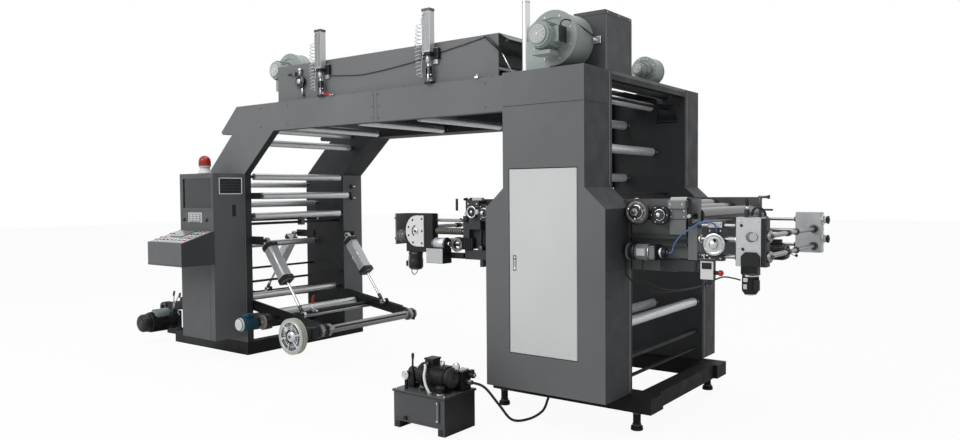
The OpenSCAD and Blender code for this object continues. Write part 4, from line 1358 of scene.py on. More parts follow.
@dataclass
class BridgeTrim:
    """Seams, screws, tube and fittings of the overhead beams."""

    finishes: Finishes
    face: float = 360.0
    z0: float = 2218.0
    z1: float = 2484.0

    def build(self) -> None:
        """Builds the beams' pieces."""
        p = Part("beam_seams", self.finishes, "gap_black", "dark_steel", "bright_steel", "hose_red")
        for x in (-2380, -2340):
            p.box((x, self.face - 0.7, self.z0 + 3), (x + 2.5, self.face + 0.4, self.z1 - 3), 0, 0)
        p.screws(Y, [(x, self.face, z) for x in (-2400, -2320) for z in (2250, 2350, 2450)], 6, 3, 1, -1)
        p.screws(Y, [(x, self.face, z) for x in (-3900, -3500, -1200, -900) for z in (2260, 2440)], 7, 3, 1, -1)
        p.box((-1296, 350, 2484), (-1262, 372, 2500), 2, 2)
        p.rod(Z, (-1279, 362, 2500), 16, 6, 2, 12)
        p.done("frame")
        q = Part("beam_inside", self.finishes, "frame_deep", "base_black", "bright_steel")
        for y, out in ((435.0, 1), (1680.0, -1)):
            bars = ((-3583, 2252), (-2675, 2246), (-1972, 2240))
            q.screws(Y, [(x + dx, y, z) for x, z in bars for dx in (-32, 32)], 6, 4, 2, out)
        q.box((-3800, 470, 2462), (-1000, 520, 2478), 0, 2)
        q.box((-3800, 1600, 2462), (-1000, 1650, 2478), 0, 2)
        for x in (-3400, -2900, -2400, -1500):
            q.box((x, 520, 2464), (x + 40, 1600, 2474), 0, 2)
        q.done("frame")
        r = Part("beam_hose_ends", self.finishes, "hose_red", "bright_steel")
        r.tube([(-3062, 352, 2492), (-3020, 350, 2496), (-2960, 350, 2494), (-2900, 352, 2490)], 5, 0)
        r.tube([(-3040, 356, 2490), (-2990, 354, 2508), (-2930, 354, 2506), (-2870, 356, 2490)], 5, 0)
        for x in (-3062, -2900, -3040, -2870):
            r.box((x - 9, 344, 2483.8), (x + 9, 366, 2494), 1, 2)
        r.done("frame")


# ---------------------------------------------------------------- stand, cabinet and desk


@dataclass
class CabinetTrim:
    """Instrument window, display, knobs, louvres and beacon of the cabinet."""

    finishes: Finishes
    x0: float = -4730.0
    x1: float = -4178.0
    z1: float = 1817.0

    def build(self) -> None:
        """Builds the cabinet's pieces."""
        self.front()
        self.side()
        self.beacon()

    def front(self) -> None:
        """Glazed window with its frame, lower display panel, knobs, keys and a fold line under the desk."""
        p = Part("cabinet_front", self.finishes, "glass_dark", "cabinet_grey", "panel_white", "screen_grey",
            "bright_steel", "gap_black", "button_black")
        x0, x1, z0, z1 = self.x0 + 50, self.x1 - 24, self.z1 - 340, self.z1 - 46
        p.box((x0 + 1, 9, z0 + 1), (x1 - 1, 13.5, z1 - 1), 0, 0.5)
        for xa, za, xb, zb in ((x0 - 12, z0 - 12, x0 + 3, z1 + 12), (x1 - 3, z0 - 12, x1 + 12, z1 + 12),
                               (x0 + 3, z1 - 3, x1 - 3, z1 + 12), (x0 + 3, z0 - 12, x1 - 3, z0 + 3)):
            p.box((xa, -3, za), (xb, 2, zb), 1, 1.5)
        # lower panel with the display and two knobs
        a0, a1, b0, b1 = self.x0 + 34, self.x1 - 30, self.z1 - 560, self.z1 - 372
        p.box((a0 + 1, 1, b0 + 1), (a1 - 1, 4.6, b1 - 1), 1, 1)
        p.box((-4588, -5, 1338), (-4362, 2, 1436), 2, 3)
        p.box((-4572, -6.5, 1350), (-4378, -4.5, 1426), 3, 1)
        for k in range(6):
            p.box((-4566 + k * 31, -7.4, 1338.8), (-4546 + k * 31, -4.8, 1346.8), 1, 1)
        for x in (-4664, -4284):
            p.rod(Y, (x, -5, 1366), 6.5, 19, 6, 28)
            p.rod(Y, (x, -17, 1366), 13, 13, 6, 24)
        # the display's keys, and the fold beside the sheet under the desk
        for k in range(9):
            a, b = -4556 + k % 3 * 58, 1358 + k // 3 * 22
            p.box((a, -8.4, b), (a + 44, -6, b + 15), 2, 1)
        p.box((self.x1 - 78, -0.5, 200), (self.x1 - 76, 0.6, 930), 5, 0)
        p.done("frame")

    def side(self) -> None:
        """Louvre window and slot on the tower side, vents on the far side."""
        p = Part("cabinet_side", self.finishes, "gap_black", "cabinet_grey", "glass_dark", "bright_steel")
        x, top = self.x1, self.z1
        p.box((x - 7.6, 77, top - 194), (x - 5.5, 320, top - 52), 0, 0)
        for k in range(9):
            z = top - 186 + k * 15
            p.box((x - 7, 80, z), (x - 1.5, 317, z + 4), 1, 1)
        for ya, low, yb, high in ((66, 204, 76, 42), (321, 204, 331, 42), (76, 51, 321, 42), (76, 204, 321, 195)):
            p.box((x - 2, ya, top - low), (x + 3, yb, top - high), 3, 1.2)
        p.box((x - 0.5, 214, 1396), (x + 0.8, 256, 1510), 0, 0)
        far = self.x0
        for k in range(10):
            p.box((far - 5, 90, 700 + k * 24), (far + 0.5, 270, 706 + k * 24), 1, 1.6)
        p.done("frame")

    def beacon(self) -> None:
        """The beacon's white base, ribs and lamp."""
        p = Part("beacon_trim", self.finishes, "white_paint", "beacon_red", "bright_steel", "panel_white")
        x, y, z = -4450.0, 100.0, self.z1
        p.turned(Z, (x, y, z), [(0, 63), (3, 65), (11, 65), (23, 57), (35, 50), (66, 48.5), (68, 47)], 0, 36)
        p.ring(Z, (x, y, z + 66), 9, 59.5, 57.2, 3, 40)
        p.fins(Z, (x + 0.2, y + 0.2), (z + 78, z + 120), 57, 20, (1.4, 1.4), 1.4, 1)
        p.done("frame")


@dataclass
class DeskTrim:
    """Touch panel, push buttons, lamps and edges of the sloped control desk."""

    finishes: Finishes
    x0: float = -4738.0
    x1: float = -4170.0
    front: float = -352.0
    low: float = 1157.0
    high: float = 1262.0

    def on_top(self, x: float, run: float, lift: float) -> Point:
        """A point on the sloped top.

        Args:
            x: along the desk, mm.
            run: 0 at the front edge, 1 at the back.
            lift: above the surface, mm.
        Returns:
            The point in mm.
        """
        slope = atan2(self.high - self.low, -self.front)
        y = self.front * (1 - run)
        z = self.low + (self.high - self.low) * run
        return (x, y - sin(slope) * lift, z + cos(slope) * lift)

    def slab(self, p: Part, x0: float, x1: float, r0: float, r1: float, low: float, high: float, finish: int) -> None:
        """A flat block lying on the sloped top.

        Args:
            p: the piece it joins.
            x0: first side, mm.
            x1: other side, mm.
            r0: front edge, 0 to 1.
            r1: back edge, 0 to 1.
            low: foot above the surface, mm.
            high: top above the surface, mm.
            finish: number of the finish.
        """
        corners = [self.on_top(x0, r, h) for r, h in ((r0, low), (r1, low), (r1, high), (r0, high))]
        p.plate([(c[1], c[2]) for c in corners], X, x0, x1, finish)

    def build(self) -> None:
        """Builds the desk's pieces."""
        p = Part("desk_panel", self.finishes, "alu", "panel_white", "screen_grey", "button_red", "button_green",
            "button_black", "bright_steel", "cabinet_grey", "gap_black")
        self.slab(p, self.x0 + 16, self.x1 - 16, 0.06, 0.93, -0.5, 2.2, 0)
        self.slab(p, self.x0 + 150, self.x0 + 330, 0.42, 0.90, 2.0, 7.0, 7)
        self.slab(p, self.x0 + 160, self.x0 + 320, 0.46, 0.86, 6.8, 8.4, 2)
        colours = (4, 3, 5, 5, 3, 4, 5, 3)
        for row, run in ((0, 0.18), (1, 0.34)):
            for k in range(8):
                x = self.x0 + 48 + k * 66
                if row == 1 and 1 < k < 5:
                    continue
                self.button(p, x, run, colours[(k + row * 3) % 8])
        for k in range(3):
            self.button(p, self.x0 + 380 + k * 58, 0.62, (3, 4, 5)[k])
            self.button(p, self.x0 + 380 + k * 58, 0.82, (5, 5, 3)[k])
        for k in range(2):
            self.button(p, self.x0 + 50 + k * 52, 0.62, (3, 5)[k])
        self.slab(p, self.x0, self.x1, 0.0, 0.03, -1, 3, 7)
        p.box((self.x0 + 1, self.front - 2, 944), (self.x1 - 1, self.front + 0.5, 956), 7, 1)
        p.done("frame")

    def button(self, p: Part, x: float, run: float, colour: int) -> None:
        """One push button in its bright ring, square to the sloped top.

        Args:
            p: the piece it joins.
            x: along the desk, mm.
            run: 0 at the front edge, 1 at the back.
            colour: number of the finish.
        """
        foot, tip = Vector(self.on_top(x, run, 0)), Vector(self.on_top(x, run, 1))
        up = (tip - foot).normalized()
        for radius, low, high, finish in ((15, 0, 5, 6), (11.5, 4, 13, colour)):
            p.tube([foot + up * low, foot + up * high], radius, finish, 20, 1)


@dataclass
class StandTrim:
    """Shaft screws, clamp blocks, bars and the web edge guide of the unwind stand."""

    finishes: Finishes
    near: float = 435.0
    far: float = 1680.0
    cx0: float = -4790.0
    cx1: float = -4170.0

    def build(self) -> None:
        """Builds the stand's pieces."""
        self.bearings()
        self.bars()
        self.base()

    def bearings(self) -> None:
        """Screws round the ends of the rollers' shafts, and clamp blocks on the far column."""
        p = Part("stand_bearings", self.finishes, "dark_steel", "bright_steel", "arm_black")
        spots = [(-4184, 1787), (-4760, 1715), (-4608, 1504), (-4192, 1391), (-4635, 1071), (-4291, 566)]
        for x, z in spots:
            for y, out in ((self.near, 1), (self.far, -1)):
                for a in (0.6, 2.2, 3.8, 5.3):
                    px, pz = x + 24 * cos(a), z + 24 * sin(a)
                    if self.cx0 + 8 < px < self.cx1 - 8:
                        p.screw(Y, (px, y, pz), 5, 4, 1, out)
        # clamp blocks with wing screws on the far column's edge
        for z in (1690, 1560):
            p.box((self.cx1 - 0.4, 1790, z - 22), (self.cx1 + 26, 1840, z + 22), 0, 4)
            p.rod(X, (self.cx1 + 26, 1815, z), 20, 9, 1, 16)
            p.box((self.cx1 + 36, 1796, z - 4), (self.cx1 + 44, 1834, z + 4), 1, 3)
        p.done("frame")

    def bars(self) -> None:
        """Edge-guide bars, lever with its ball, and the cross bars low down."""
        p = Part("stand_bars", self.finishes, "arm_black", "bright_steel", "dark_steel", "ground_steel", "hose_red")
        y0, y1 = self.near, self.far
        p.rod(Y, (-4259, y0 + 0.3, 1311), y1 - y0 - 0.6, 14, 0, 16)
        p.rod(Y, (-4694, y0 + 0.3, 811), y1 - y0 - 0.6, 12, 0, 16)
        p.rod(Y, (-4700, y0 + 0.3, 300), y1 - y0 - 0.6, 18, 2, 20)
        p.box((-4400, y0 + 0.3, 232), (-4360, y1 - 0.3, 262), 0, 2)
        # guard sheet with its red air line, and the bar behind the arms
        p.box((-4703, y0 + 0.3, 1318), (-4697, y1 - 0.3, 1404), 0, 1)
        p.tube([(-4692, y0 + 0.3, 1345), (-4690, 800, 1336), (-4690, 1200, 1342), (-4692, y1 - 0.3, 1352)], 4, 4)
        p.rod(Y, (-4200, y0 + 0.3, 730), y1 - y0 - 0.6, 12, 0, 16)
        # sensor carriage on the dark bar
        p.box((-4290, 1120, 1278), (-4228, 1170, 1346), 2, 4)
        p.tube([(-4228, 1145, 1330), (-4190, 1145, 1352), (-4170, 1145, 1376)], 5, 1, 10, 3)
        p.rod(Z, (-4259, 1380, 1325), 60, 7, 1, 12)
        p.turned(Z, (-4259, 1380, 1383), [(0, 5), (6, 13), (14, 16), (22, 13), (28, 4)], 0, 16)
        p.done("frame")

    def base(self) -> None:
        """Anchor screws and the edge bracket of the base frame."""
        p = Part("stand_base_trim", self.finishes, "dark_steel", "base_black")
        for x in (-5395, -4840, -4225):
            for y in (415, 1912):
                p.rod(Z, (x, y, 130), 8, 18, 1, 6)
                p.rod(Z, (x, y, 138), 14, 8, 0, 12)
        p.box((self.cx0 - 6, 354, 130), (self.cx0 + 90, 360.4, 196), 1, 2)
        p.done("frame")


@dataclass
class UnwindTrim:
    """Everything that swings or turns with the unwind arms."""

    finishes: Finishes
    reel: tuple[float, float] = (-3150.0, 340.0)
    pivot: tuple[float, float] = (-4250.0, 500.0)
    near_arm: float = 447.0
    far_arm: float = 1668.0
    drive: tuple[float, float] = (-3830.0, 388.0)
    middle: float = -4480.0
    hang: Point = (-4030.0, 0.0, 1150.0)
    pin: Point = (-3500.0, 0.0, 450.0)
    barrel_y: tuple[float, float] = (510.0, 1605.0)
    barrel_r: float = 60.0

    def build(self) -> None:
        """Builds the pieces of both unwind stations."""
        self.wheel()
        self.shaft()
        self.arms()
        self.drive_unit()
        self.cylinders()
        self.back_station()

    def wheel(self) -> None:
        """The brake wheel's domed face with its fan of fins, and the grooves of its rim."""
        p = Part("brake_face", self.finishes, "bright_steel", "dark_steel", "rim_green", "arm_black")
        x, z = self.reel
        p.turned(Y, (x, 60, z), [(-10, 26), (-9, 35), (-1, 46), (12, 56), (34, 58)], 0, 44)
        p.ring(Y, (x, 57, z), 8, 139, 126, 0, 72)
        p.ring(Y, (x, 62, z), 10, 94, 88, 0, 56)
        for k in range(36):
            a = 2 * pi * k / 36
            twist = Matrix.Rotation(-a, 4, "Y") @ Matrix.Rotation(0.35, 4, "X")
            fx, fz = x + 95 * cos(a), z + 95 * sin(a)
            p.box((fx - 33, 60, fz - 2.2), (fx + 33, 80, fz + 2.2), 0, 1, twist)
        p.fins(Y, (x, z), (54, 66), 97, 6, (38, 38), 8, 0, 3, 0.26)
        for y in (61, 83, 107):
            p.ring(Y, (x, y, z), 12, 161.6, 159.4, 2, 80)
        p.rod(Y, (x, 44, z), 13, 15, 1, 6)
        p.done("reel")

    def shaft(self) -> None:
        """Chuck jaws, grease ring and air key slots of the unwind shaft."""
        p = Part("reel_trim", self.finishes, "arm_black", "bright_steel", "dark_steel", "ground_steel")
        x, z = self.reel
        p.box((x - 62, 262, z - 50), (x + 62, 326, z + 50), 0, 8)
        p.ring(Y, (x, 214, z), 30, 58, 44.2, 0, 40)
        p.ring(Y, (x, 340, z), 40, 66, 56.2, 0, 40)
        for a in (0.5, 1.55, 2.6, 3.65, 4.7, 5.75):
            p.rod(Y, (x + 50 * cos(a), 330, z + 50 * sin(a)), 8, 6, 1, 6)
        p.fins(Y, (x, z), (560, 1560), 38, 3, (3, 1.5), 9, 0, 1, 0.4)
        p.ring(Y, (x, 1684, z), 14, 56, 48.2, 1, 36)
        p.done("reel")

    def arms(self) -> None:
        """Bearing housings, weld ribs, pin heads and the scale rail of the arms."""
        p = Part("arm_trim", self.finishes, "arm_black", "bright_steel", "dark_steel", "ground_steel", "hose_red",
            "alu")
        x, z = self.reel
        for y, out in ((self.near_arm, -1), (self.far_arm, 1)):
            a, b = (y - 16, y - 0.2) if out < 0 else (y + 0.2, y + 11)
            p.ring(Y, (x, a, z), b - a, 58, 47 if out < 0 else 50, 2, 36)
            for k in range(5):
                t = 2 * pi * k / 5 + 0.3
                p.screw(Y, (x + 54 * cos(t), a if out < 0 else b, z + 54 * sin(t)), 5, 4, 1, out)
            p.ring(Y, (self.pivot[0], a if out < 0 else b - 11, self.pivot[1]), 10, 40, 24, 2, 32)
        for y in (self.near_arm + 22.2, self.far_arm - 30.2):
            p.ring(Y, (-3500, y + (62 if y < 1000 else -62), 450), 5, 18, 10.2, 1, 24)
        # top flanges of the arms, seen as a bright edge
        for y0, y1 in ((self.near_arm - 14, self.near_arm - 0.2), (self.far_arm + 0.2, self.far_arm + 11)):
            p.plate([(-4130, 541), (-3270, 416), (-3270, 408), (-4130, 533)], Y, y0, y1, 0)
        p.rod(Y, (-3700, self.near_arm + 22.3, 392), self.far_arm - self.near_arm - 44.6, 15, 3, 20)
        # bracket with the red air hose on the cross tube
        p.box((-3815, 846, 408), (-3745, 888, 436), 5, 4)
        p.turned(Z, (-3780, 867, 436), [(0, 22), (14, 20), (40, 12), (52, 11)], 1, 20)
        p.tube([(-3780, 867, 486), (-3780, 869, 520), (-3776, 872, 552), (-3762, 876, 572)], 11, 4, 14, 4)
        p.rod(X, (-3745, 867, 422), 40, 10, 1, 14)
        p.box((-3796, 852, 392), (-3764, 882, 409), 5, 3)
        p.done("arms")

    def drive_unit(self) -> None:
        """Pale end cap, fins, terminal box and spur gears of the arm's geared motor."""
        p = Part("arm_drive", self.finishes, "white_paint", "drive_teal", "cast_grey", "bright_steel", "motor_black",
            "door_pale")
        x, z = self.drive
        p.turned(Y, (x, 6, z), [(0, 40), (3, 52), (8, 60), (18, 63), (26, 63), (28, 61)], 5, 40)
        p.fins(Y, (x, z), (76, 174), 65, 32, (4, 4), 1.2, 1, 0.4)
        p.box((x - 36, 88, z + 58), (x + 36, 160, z + 92), 1, 5)
        p.rod(X, (x + 36, 124, z + 76), 16, 9, 4, 12)
        for dx, r, y in ((60, 70, 244), (8, 38, 240)):
            p.turned(Y, (x + dx, y - 14, z), [(0, r - 4), (2, r), (12, r), (14, r - 4)], 2, 40)
            p.rod(Y, (x + dx, y - 24, z), 12, 14, 3, 6)
            p.fins(Y, (x + dx, z), (y - 12, y - 2), r + 1, 30 if r > 60 else 18, (3.4, 3.4), 2.2, 2, 0.6)
        p.done("arms")

    def down(self) -> Vector:
        """The direction from a cylinder's hanger to its pin."""
        return (Vector(self.pin) - Vector(self.hang)).normalized()

    def placed(self, points: Iterable[Vector], y: float, mirrored: bool) -> list[Vector]:
        """Points of a cylinder at y, or of its twin beyond the columns.

        Args:
            points: the points, mm.
            y: shift along the shafts, mm.
            mirrored: True for the station beyond the columns.
        Returns:
            The points.
        """
        return [Vector((2 * self.middle - v.x if mirrored else v.x, y + v.y, v.z)) for v in points]

    def barrel(self, body: str, mirrored: bool) -> None:
        """End caps, tie rods, ports and profile ribs on one station's two air cylinders.

        Args:
            body: barrels or barrels_back.
            mirrored: True for the station beyond the columns.
        """
        p = Part(f"{body}_trim", self.finishes, "motor_black", "alu", "bright_steel", "hose_red", "dark_steel")
        hang, away, half, rods = Vector(self.hang), self.down(), self.barrel_r - 1, (self.barrel_r - 10) * 1.28
        lean, side = atan2(away.x, -away.z), Vector((-away.z, 0, away.x))
        turn = Matrix.Rotation(lean if mirrored else -lean, 4, "Y")
        for y in self.barrel_y:
            for low, high in ((442, 502), (50, 108)):
                c, tall = hang + away * ((low + high) / 2), (high - low) / 2
                x = 2 * self.middle - c.x if mirrored else c.x
                p.box((x - half, y - half, c.z - tall), (x + half, y + half, c.z + tall), 0, 14, turn)
            for k in range(4):
                a = pi / 4 + k * pi / 2
                ends = [hang + away * d + side * (cos(a) * rods) for d in (46, 506)]
                p.tube(self.placed(ends, y + sin(a) * rods, mirrored), 5.5, 2, 10, 1)
            for d in (78, 470):
                across = side * (self.barrel_r - 4)
                ends = [hang + away * d + across * share for share in (1, 1.24)]
                p.tube(self.placed(ends, y, mirrored), 9, 4, 12, 1)
        p.done(body)

    def cylinders(self) -> None:
        """Trim of both stations' cylinders and the forks of their rods."""
        for body, mirrored in (("barrels", False), ("barrels_back", True)):
            self.barrel(body, mirrored)
        hang, away = Vector(self.hang), self.down()
        reach = (Vector(self.pin) - hang).length
        for body, mirrored in (("rods", False), ("rods_back", True)):
            p = Part(f"{body}_forks", self.finishes, "bright_steel", "dark_steel")
            for y in self.barrel_y:
                p.tube(self.placed([hang + away * (reach - d) for d in (96, 30)], y, mirrored), 19, 1, 6, 1)
            p.done(body)

    def back_station(self) -> None:
        """Bearing caps of the second unwind shaft, beyond the columns."""
        p = Part("arm_back_trim", self.finishes, "dark_steel", "bright_steel", "arm_black")
        x, z = 2 * self.middle - self.reel[0], self.reel[1]
        for y, a, b in ((self.near_arm, -16.0, -0.2), (self.far_arm, 0.2, 11.0)):
            p.ring(Y, (x, y + a, z), b - a, 58, 26, 0, 36)
        p.done("arms_back")


# ---------------------------------------------------------------- print units


@dataclass
class UnitTrim:
    """Gears, plates, rods, motors and handles of the two print units."""

    finishes: Finishes
    plate_roll: tuple[float, float] = (90.0, 1475.0)
    ink_roll: tuple[float, float] = (235.0, 1457.0)
    middle: float = -470.0

    def build(self) -> None:
        """Builds the units' pieces."""
        for mirrored in (False, True):
            self.rolls(mirrored)
            self.cheek(mirrored)
        self.near_block()
        self.far_block()
        self.long_blocks()
        self.carriage()
        self.motors()
        self.left_details()

    def flip(self, x: float, mirrored: bool) -> float:
        """The x of the unit drawn, or of its twin on the other side."""
        return 2 * self.middle - x if mirrored else x

    def rolls(self, mirrored: bool) -> None:
        """Gear, nut and rings on the rolls' operator-side journals.

        Args:
            mirrored: True for the far unit.
        """
        tag = "_b" if mirrored else ""
        x, z = self.flip(self.plate_roll[0], mirrored), self.plate_roll[1]
        p = Part(f"plate_gear{tag}", self.finishes, "dark_steel", "bright_steel", "cast_grey")
        pitch, teeth = 82.5, 56
        p.fins(Y, (x, z), (262, 284), pitch + 1.2, teeth, (3.4, 3.4), pi * pitch / teeth * 0.5)
        p.ring(Y, (x, 256, z), 3, 72, 50, 2, 48)
        p.ring(Y, (x, 252, z), 8, 48, 31, 1, 36)
        p.bolts((x, 256, z), 60, 6, 5, 4, 1, -1, 0.2)
        p.rod(Y, (x, 222, z), 12.5, 27, 1, 6)
        p.rod(Y, (x, 214, z), 10, 15, 0, 20)
        for a in (0.6, 2.7, 4.8):
            p.rod(Y, (x + 46 * cos(a), 226, z + 46 * sin(a)), 31, 7, 1, 16)
        p.done(f"plate_roll{tag}")
        x, z = self.flip(self.ink_roll[0], mirrored), self.ink_roll[1]
        q = Part(f"ink_ring{tag}", self.finishes, "motor_black", "bright_steel", "dark_steel")
        q.ring(Y, (x, 293, z), 25, 66.4, 40, 0, 56)
        q.ring(Y, (x, 290, z), 6, 38, 30.5, 1, 36)
        q.turned(Y, (x, 262, z), [(0, 8), (3, 14), (12, 16), (14.5, 16)], 1, 24)
        q.bolts((x, 293, z), 53, 6, 4.5, 3.5, 1)
        q.done(f"ink_roll{tag}")

    def cheek(self, mirrored: bool) -> None:
        """Bearing cap, clamp lever, screws and slide rails of one unit's near cheek.

        Args:
            mirrored: True for the far unit.
        """
        tag = "_b" if mirrored else ""

        def f(x: float) -> float:
            """The x on this unit's side."""
            return self.flip(x, mirrored)

        def span(x0: float, x1: float) -> tuple[float, float]:
            """Both ends in rising order."""
            return min(f(x0), f(x1)), max(f(x0), f(x1))

        p = Part(f"unit_cap{tag}", self.finishes, "frame_deep" if mirrored else "cap_grey", "plate_mid", "dark_steel",
            "motor_black", "bright_steel", "frame_deep")
        a, b = span(287, 407)
        p.box((a, 303, 1502), (b, 384, 1551), 0, 7)
        p.box((a, 327, 1430), (b, 333, 1498), 5 if mirrored else 1, 2)
        a, b = span(292, 402)
        p.box((a, 326, 1330), (b, 333, 1426), 5 if mirrored else 1, 3)
        p.screws(Y, [(f(x), 327, z) for x in (304, 390) for z in (1446, 1484)], 6, 5, 4, -1)
        p.screws(Y, [(f(x), 303, 1525) for x in (306, 388)], 7, 5, 4, -1)
        # upright clamp lever and its slanting rod
        x = f(424)
        p.box((x - 8, 326, 1384), (x + 8, 338, 1572), 3, 4)
        p.rod(Y, (x, 300, 1560), 30, 10, 3, 20)
        p.tube([(x, 322, 1392), (f(452), 318, 1398), (f(478), 316, 1409)], 7, 3, 10, 3)
        p.rod(Y, (x, 316, 1450), 24, 14, 4, 6)
        # lower plate with its four screws, and the twin's ring wheel
        a, b = span(222, 458)
        p.box((a, 346, 1094), (b, 353, 1164), 5, 2)
        p.screws(Y, [(f(x), 346, z) for x in (240, 440) for z in (1106, 1152)], 7, 5, 2, -1)
        if mirrored:
            p.ring(Y, (f(347), 284, 1462), 16, 46, 36, 4, 44)
            p.ring(Y, (f(347), 288, 1462), 10, 36, 10, 3, 32)
            p.rod(Y, (f(347), 280, 1462), 23, 11, 4, 16)
        # slide rails and wipers
        a, b = span(-120, 262)
        p.box((a, 384, 1420), (b, 388.4, 1428), 4, 1)
        p.box((a, 380, 1432), (b, 388.4, 1438), 2, 1)
        for x0 in (-96, 20):
            a, b = span(x0, x0 + 26)
            p.box((a, 376, 1536), (b, 390, 1566), 4, 3)
        p.done("frame")

    def near_block(self) -> None:
        """Front plate, cap, bosses, handle and L rod of the near end block."""
        x0, x1, z0, z1, y0, y1 = 723.0, 903.0, 1148.0, 1444.0, 320.0, 390.0
        p = Part("near_block_trim", self.finishes, "panel_white", "dark_steel", "bright_steel", "motor_black", "alu",
            "lever_brown", "ground_steel", "cap_grey")
        p.box((x0 + 1, y0 - 4, z0 + 1), (x0 + 150, y0 + 0.5, z1 - 1), 0, 2.5)
        p.box((x0 + 151, y0 - 3, z0 + 1), (x1 - 1, y0 + 0.5, z1 - 1), 3, 2)
        p.screws(Y, [(x, y0 - 4, z) for x in (x0 + 22, x0 + 130) for z in (z0 + 118, z1 - 20)], 7, 4, 2, -1)
        p.rod(Y, (x0 + 92, y0 - 10, 1328), 6.4, 27, 7, 32)
        p.ring(Y, (x0 + 92, y0 - 6, 1328), 3, 31, 27.2, 1, 36)
        for x, z in ((757, 1398), (766, 1254)):
            p.rod(Y, (x, y0 - 9, z), 6, 9, 3, 16)
        p.plate([(757, 1150), (757, 1212), (783, 1237), (848, 1237), (871, 1212), (871, 1150)], Y, y0 - 16, y0 - 4, 3)
        # Painted shade: a black sheet over the block's +X face.
        p.box((x1 - 0.5, y0 + 2, z0 + 1), (x1 + 3, y1 - 1, z1 - 1), 3, 2)
        p.box((x0 + 2, y0 - 3, z1 - 0.5), (x1 - 2, y1 - 1, z1 + 3), 4, 1.5)
        p.box((x0 - 3, y0 + 2, z0 + 4), (x0 + 0.5, y1 - 2, z1 - 4), 1, 1.5)
        for z in (1334, 1209):
            p.turned(X, (x1 + 2, 360, z), [(0, 33), (4, 35), (16, 35), (20, 30), (21, 20)], 6, 36)
            p.rod(X, (x1 + 22, 360, z), 14, 13, 1, 6)
        # slim handle and the upright with its cross rod
        x, y = 778.0, 355.0
        p.rod(Z, (x, y, z1 + 48), 22, 9, 2, 16)
        p.turned(Z, (x, y, z1 + 66), [(0, 5), (6, 9), (40, 11), (52, 8), (58, 4)], 3, 20)
        p.rod(X, (846, y, 1571), 60, 8, 1, 16)
        p.rod(Z, (856, y, 1494), 78, 8.4, 1, 16)
        p.rod(X, (900, y, 1571), 12, 12, 3, 16)
        p.tube([(808, 352, z1 + 2), (812, 350, 1480), (836, 350, 1508), (868, 352, 1498), (886, 354, 1470),
            (888, 354, z1 + 2)], 8, 3, 12, 5)
        p.box((792, 338, z1 - 1), (824, 366, z1 + 12), 1, 3)
        p.box((872, 340, z1 - 1), (902, 368, z1 + 12), 1, 3)
        p.done("frame")

    def far_block(self) -> None:
        """Plates, bosses and the two star knobs of the far end block."""
        x0, x1, z0, z1, y0, y1 = 723.0, 903.0, 1148.0, 1444.0, 1654.0, 1724.0
        p = Part("far_block_trim", self.finishes, "panel_white", "dark_steel", "bright_steel", "motor_black", "alu")
        p.box((x1 - 0.5, y0 + 1, z0 + 1), (x1 + 3, y1 - 1, z1 - 1), 0, 2.5)
        p.box((x0 + 1, y0 - 3, z0 + 1), (x1 - 1, y0 + 0.5, z1 - 1), 0, 2)
        p.box((x0 + 2, y0 + 2, z1 - 0.5), (x1 - 2, y1 - 1, z1 + 3), 4, 1.5)
        for z in (1390, 1250):
            p.ring(X, (x1 + 2, 1689, z), 9, 40, 26.5, 2, 36)
            p.turned(X, (x1 + 30, 1689, z), [(0, 18), (6, 22), (14, 24), (20, 20), (22, 10)], 3, 24)
            for k in range(5):
                a = 2 * pi * k / 5
                p.rod(X, (x1 + 33, 1689 + 24 * cos(a), z + 24 * sin(a)), 14, 7, 3, 10)
        p.screws(X, [(x1 + 3, y, z) for y in (1668, 1710) for z in (1170, 1320, 1424)], 7, 4, 2, 1)
        p.done("frame")
        q = Part("tie_rod_trim", self.finishes, "motor_black", "bright_steel", "dark_steel")
        for x in (862.0, -1925.0):
            for z in (1200.0, 1326.0):
                for y, out in ((426.0, 1), (1618.0, -1)):
                    a = y if out > 0 else y - 9
                    q.ring(Y, (x, a, z), 9, 31, 16.3, 2, 32)
                q.ring(Y, (x, 900, z), 60, 21, 16.3, 0, 28)
                q.ring(Y, (x, 1130, z), 14, 24, 16.3, 2, 28)
        q.done("frame")

    def long_blocks(self) -> None:
        """The far unit's near block: rounded pale plate, holes, flange knobs and hub steps."""
        p = Part("long_block_trim", self.finishes, "white_paint", "motor_black", "dark_steel", "bright_steel", "alu",
            "motor_grey")
        x0, x1, z0, z1, y = -1985.0, -1705.0, 1134.0, 1444.0, 320.0
        # rounded plate
        cx, cz, r = x0 + 116, (z0 + z1) / 2 + 14, 126.0
        round_end = [(90 + k * 15) * pi / 180 for k in range(13)]
        arc = [(cx + (r - 12) * cos(a), cz + r * sin(a)) for a in round_end]
        p.plate([(x1 - 86, cz - r), (x1 - 86, cz + r)] + arc, Y, y - 9, y + 0.4, 0)
        for dx, dz in ((58, 98), (58, -98), (-40, 88), (-84, 30), (-84, -36), (-36, -94), (60, 0)):
            p.rod(Y, (cx + dx, y - 10.2, cz + dz), 2, 9, 1, 20)
        for k in range(7):
            a = radians(110 + k * 20)
            p.rod(Y, (cx + 44 * cos(a), y - 10, cz + 44 * sin(a)), 1.8, 8, 2, 12)
        p.rod(Y, (cx, y - 20, cz), 12, 20, 3, 32)
        p.rod(Y, (cx, y - 26, cz), 8, 10, 2, 6)
        p.box((x1 - 2, y + 2, z0 + 6), (x1 + 3, y + 68, z1 - 6), 1, 2)
        p.box((x0 + 2, y + 2, z1 - 0.5), (x1 - 2, y + 68, z1 + 3), 1, 1.5)
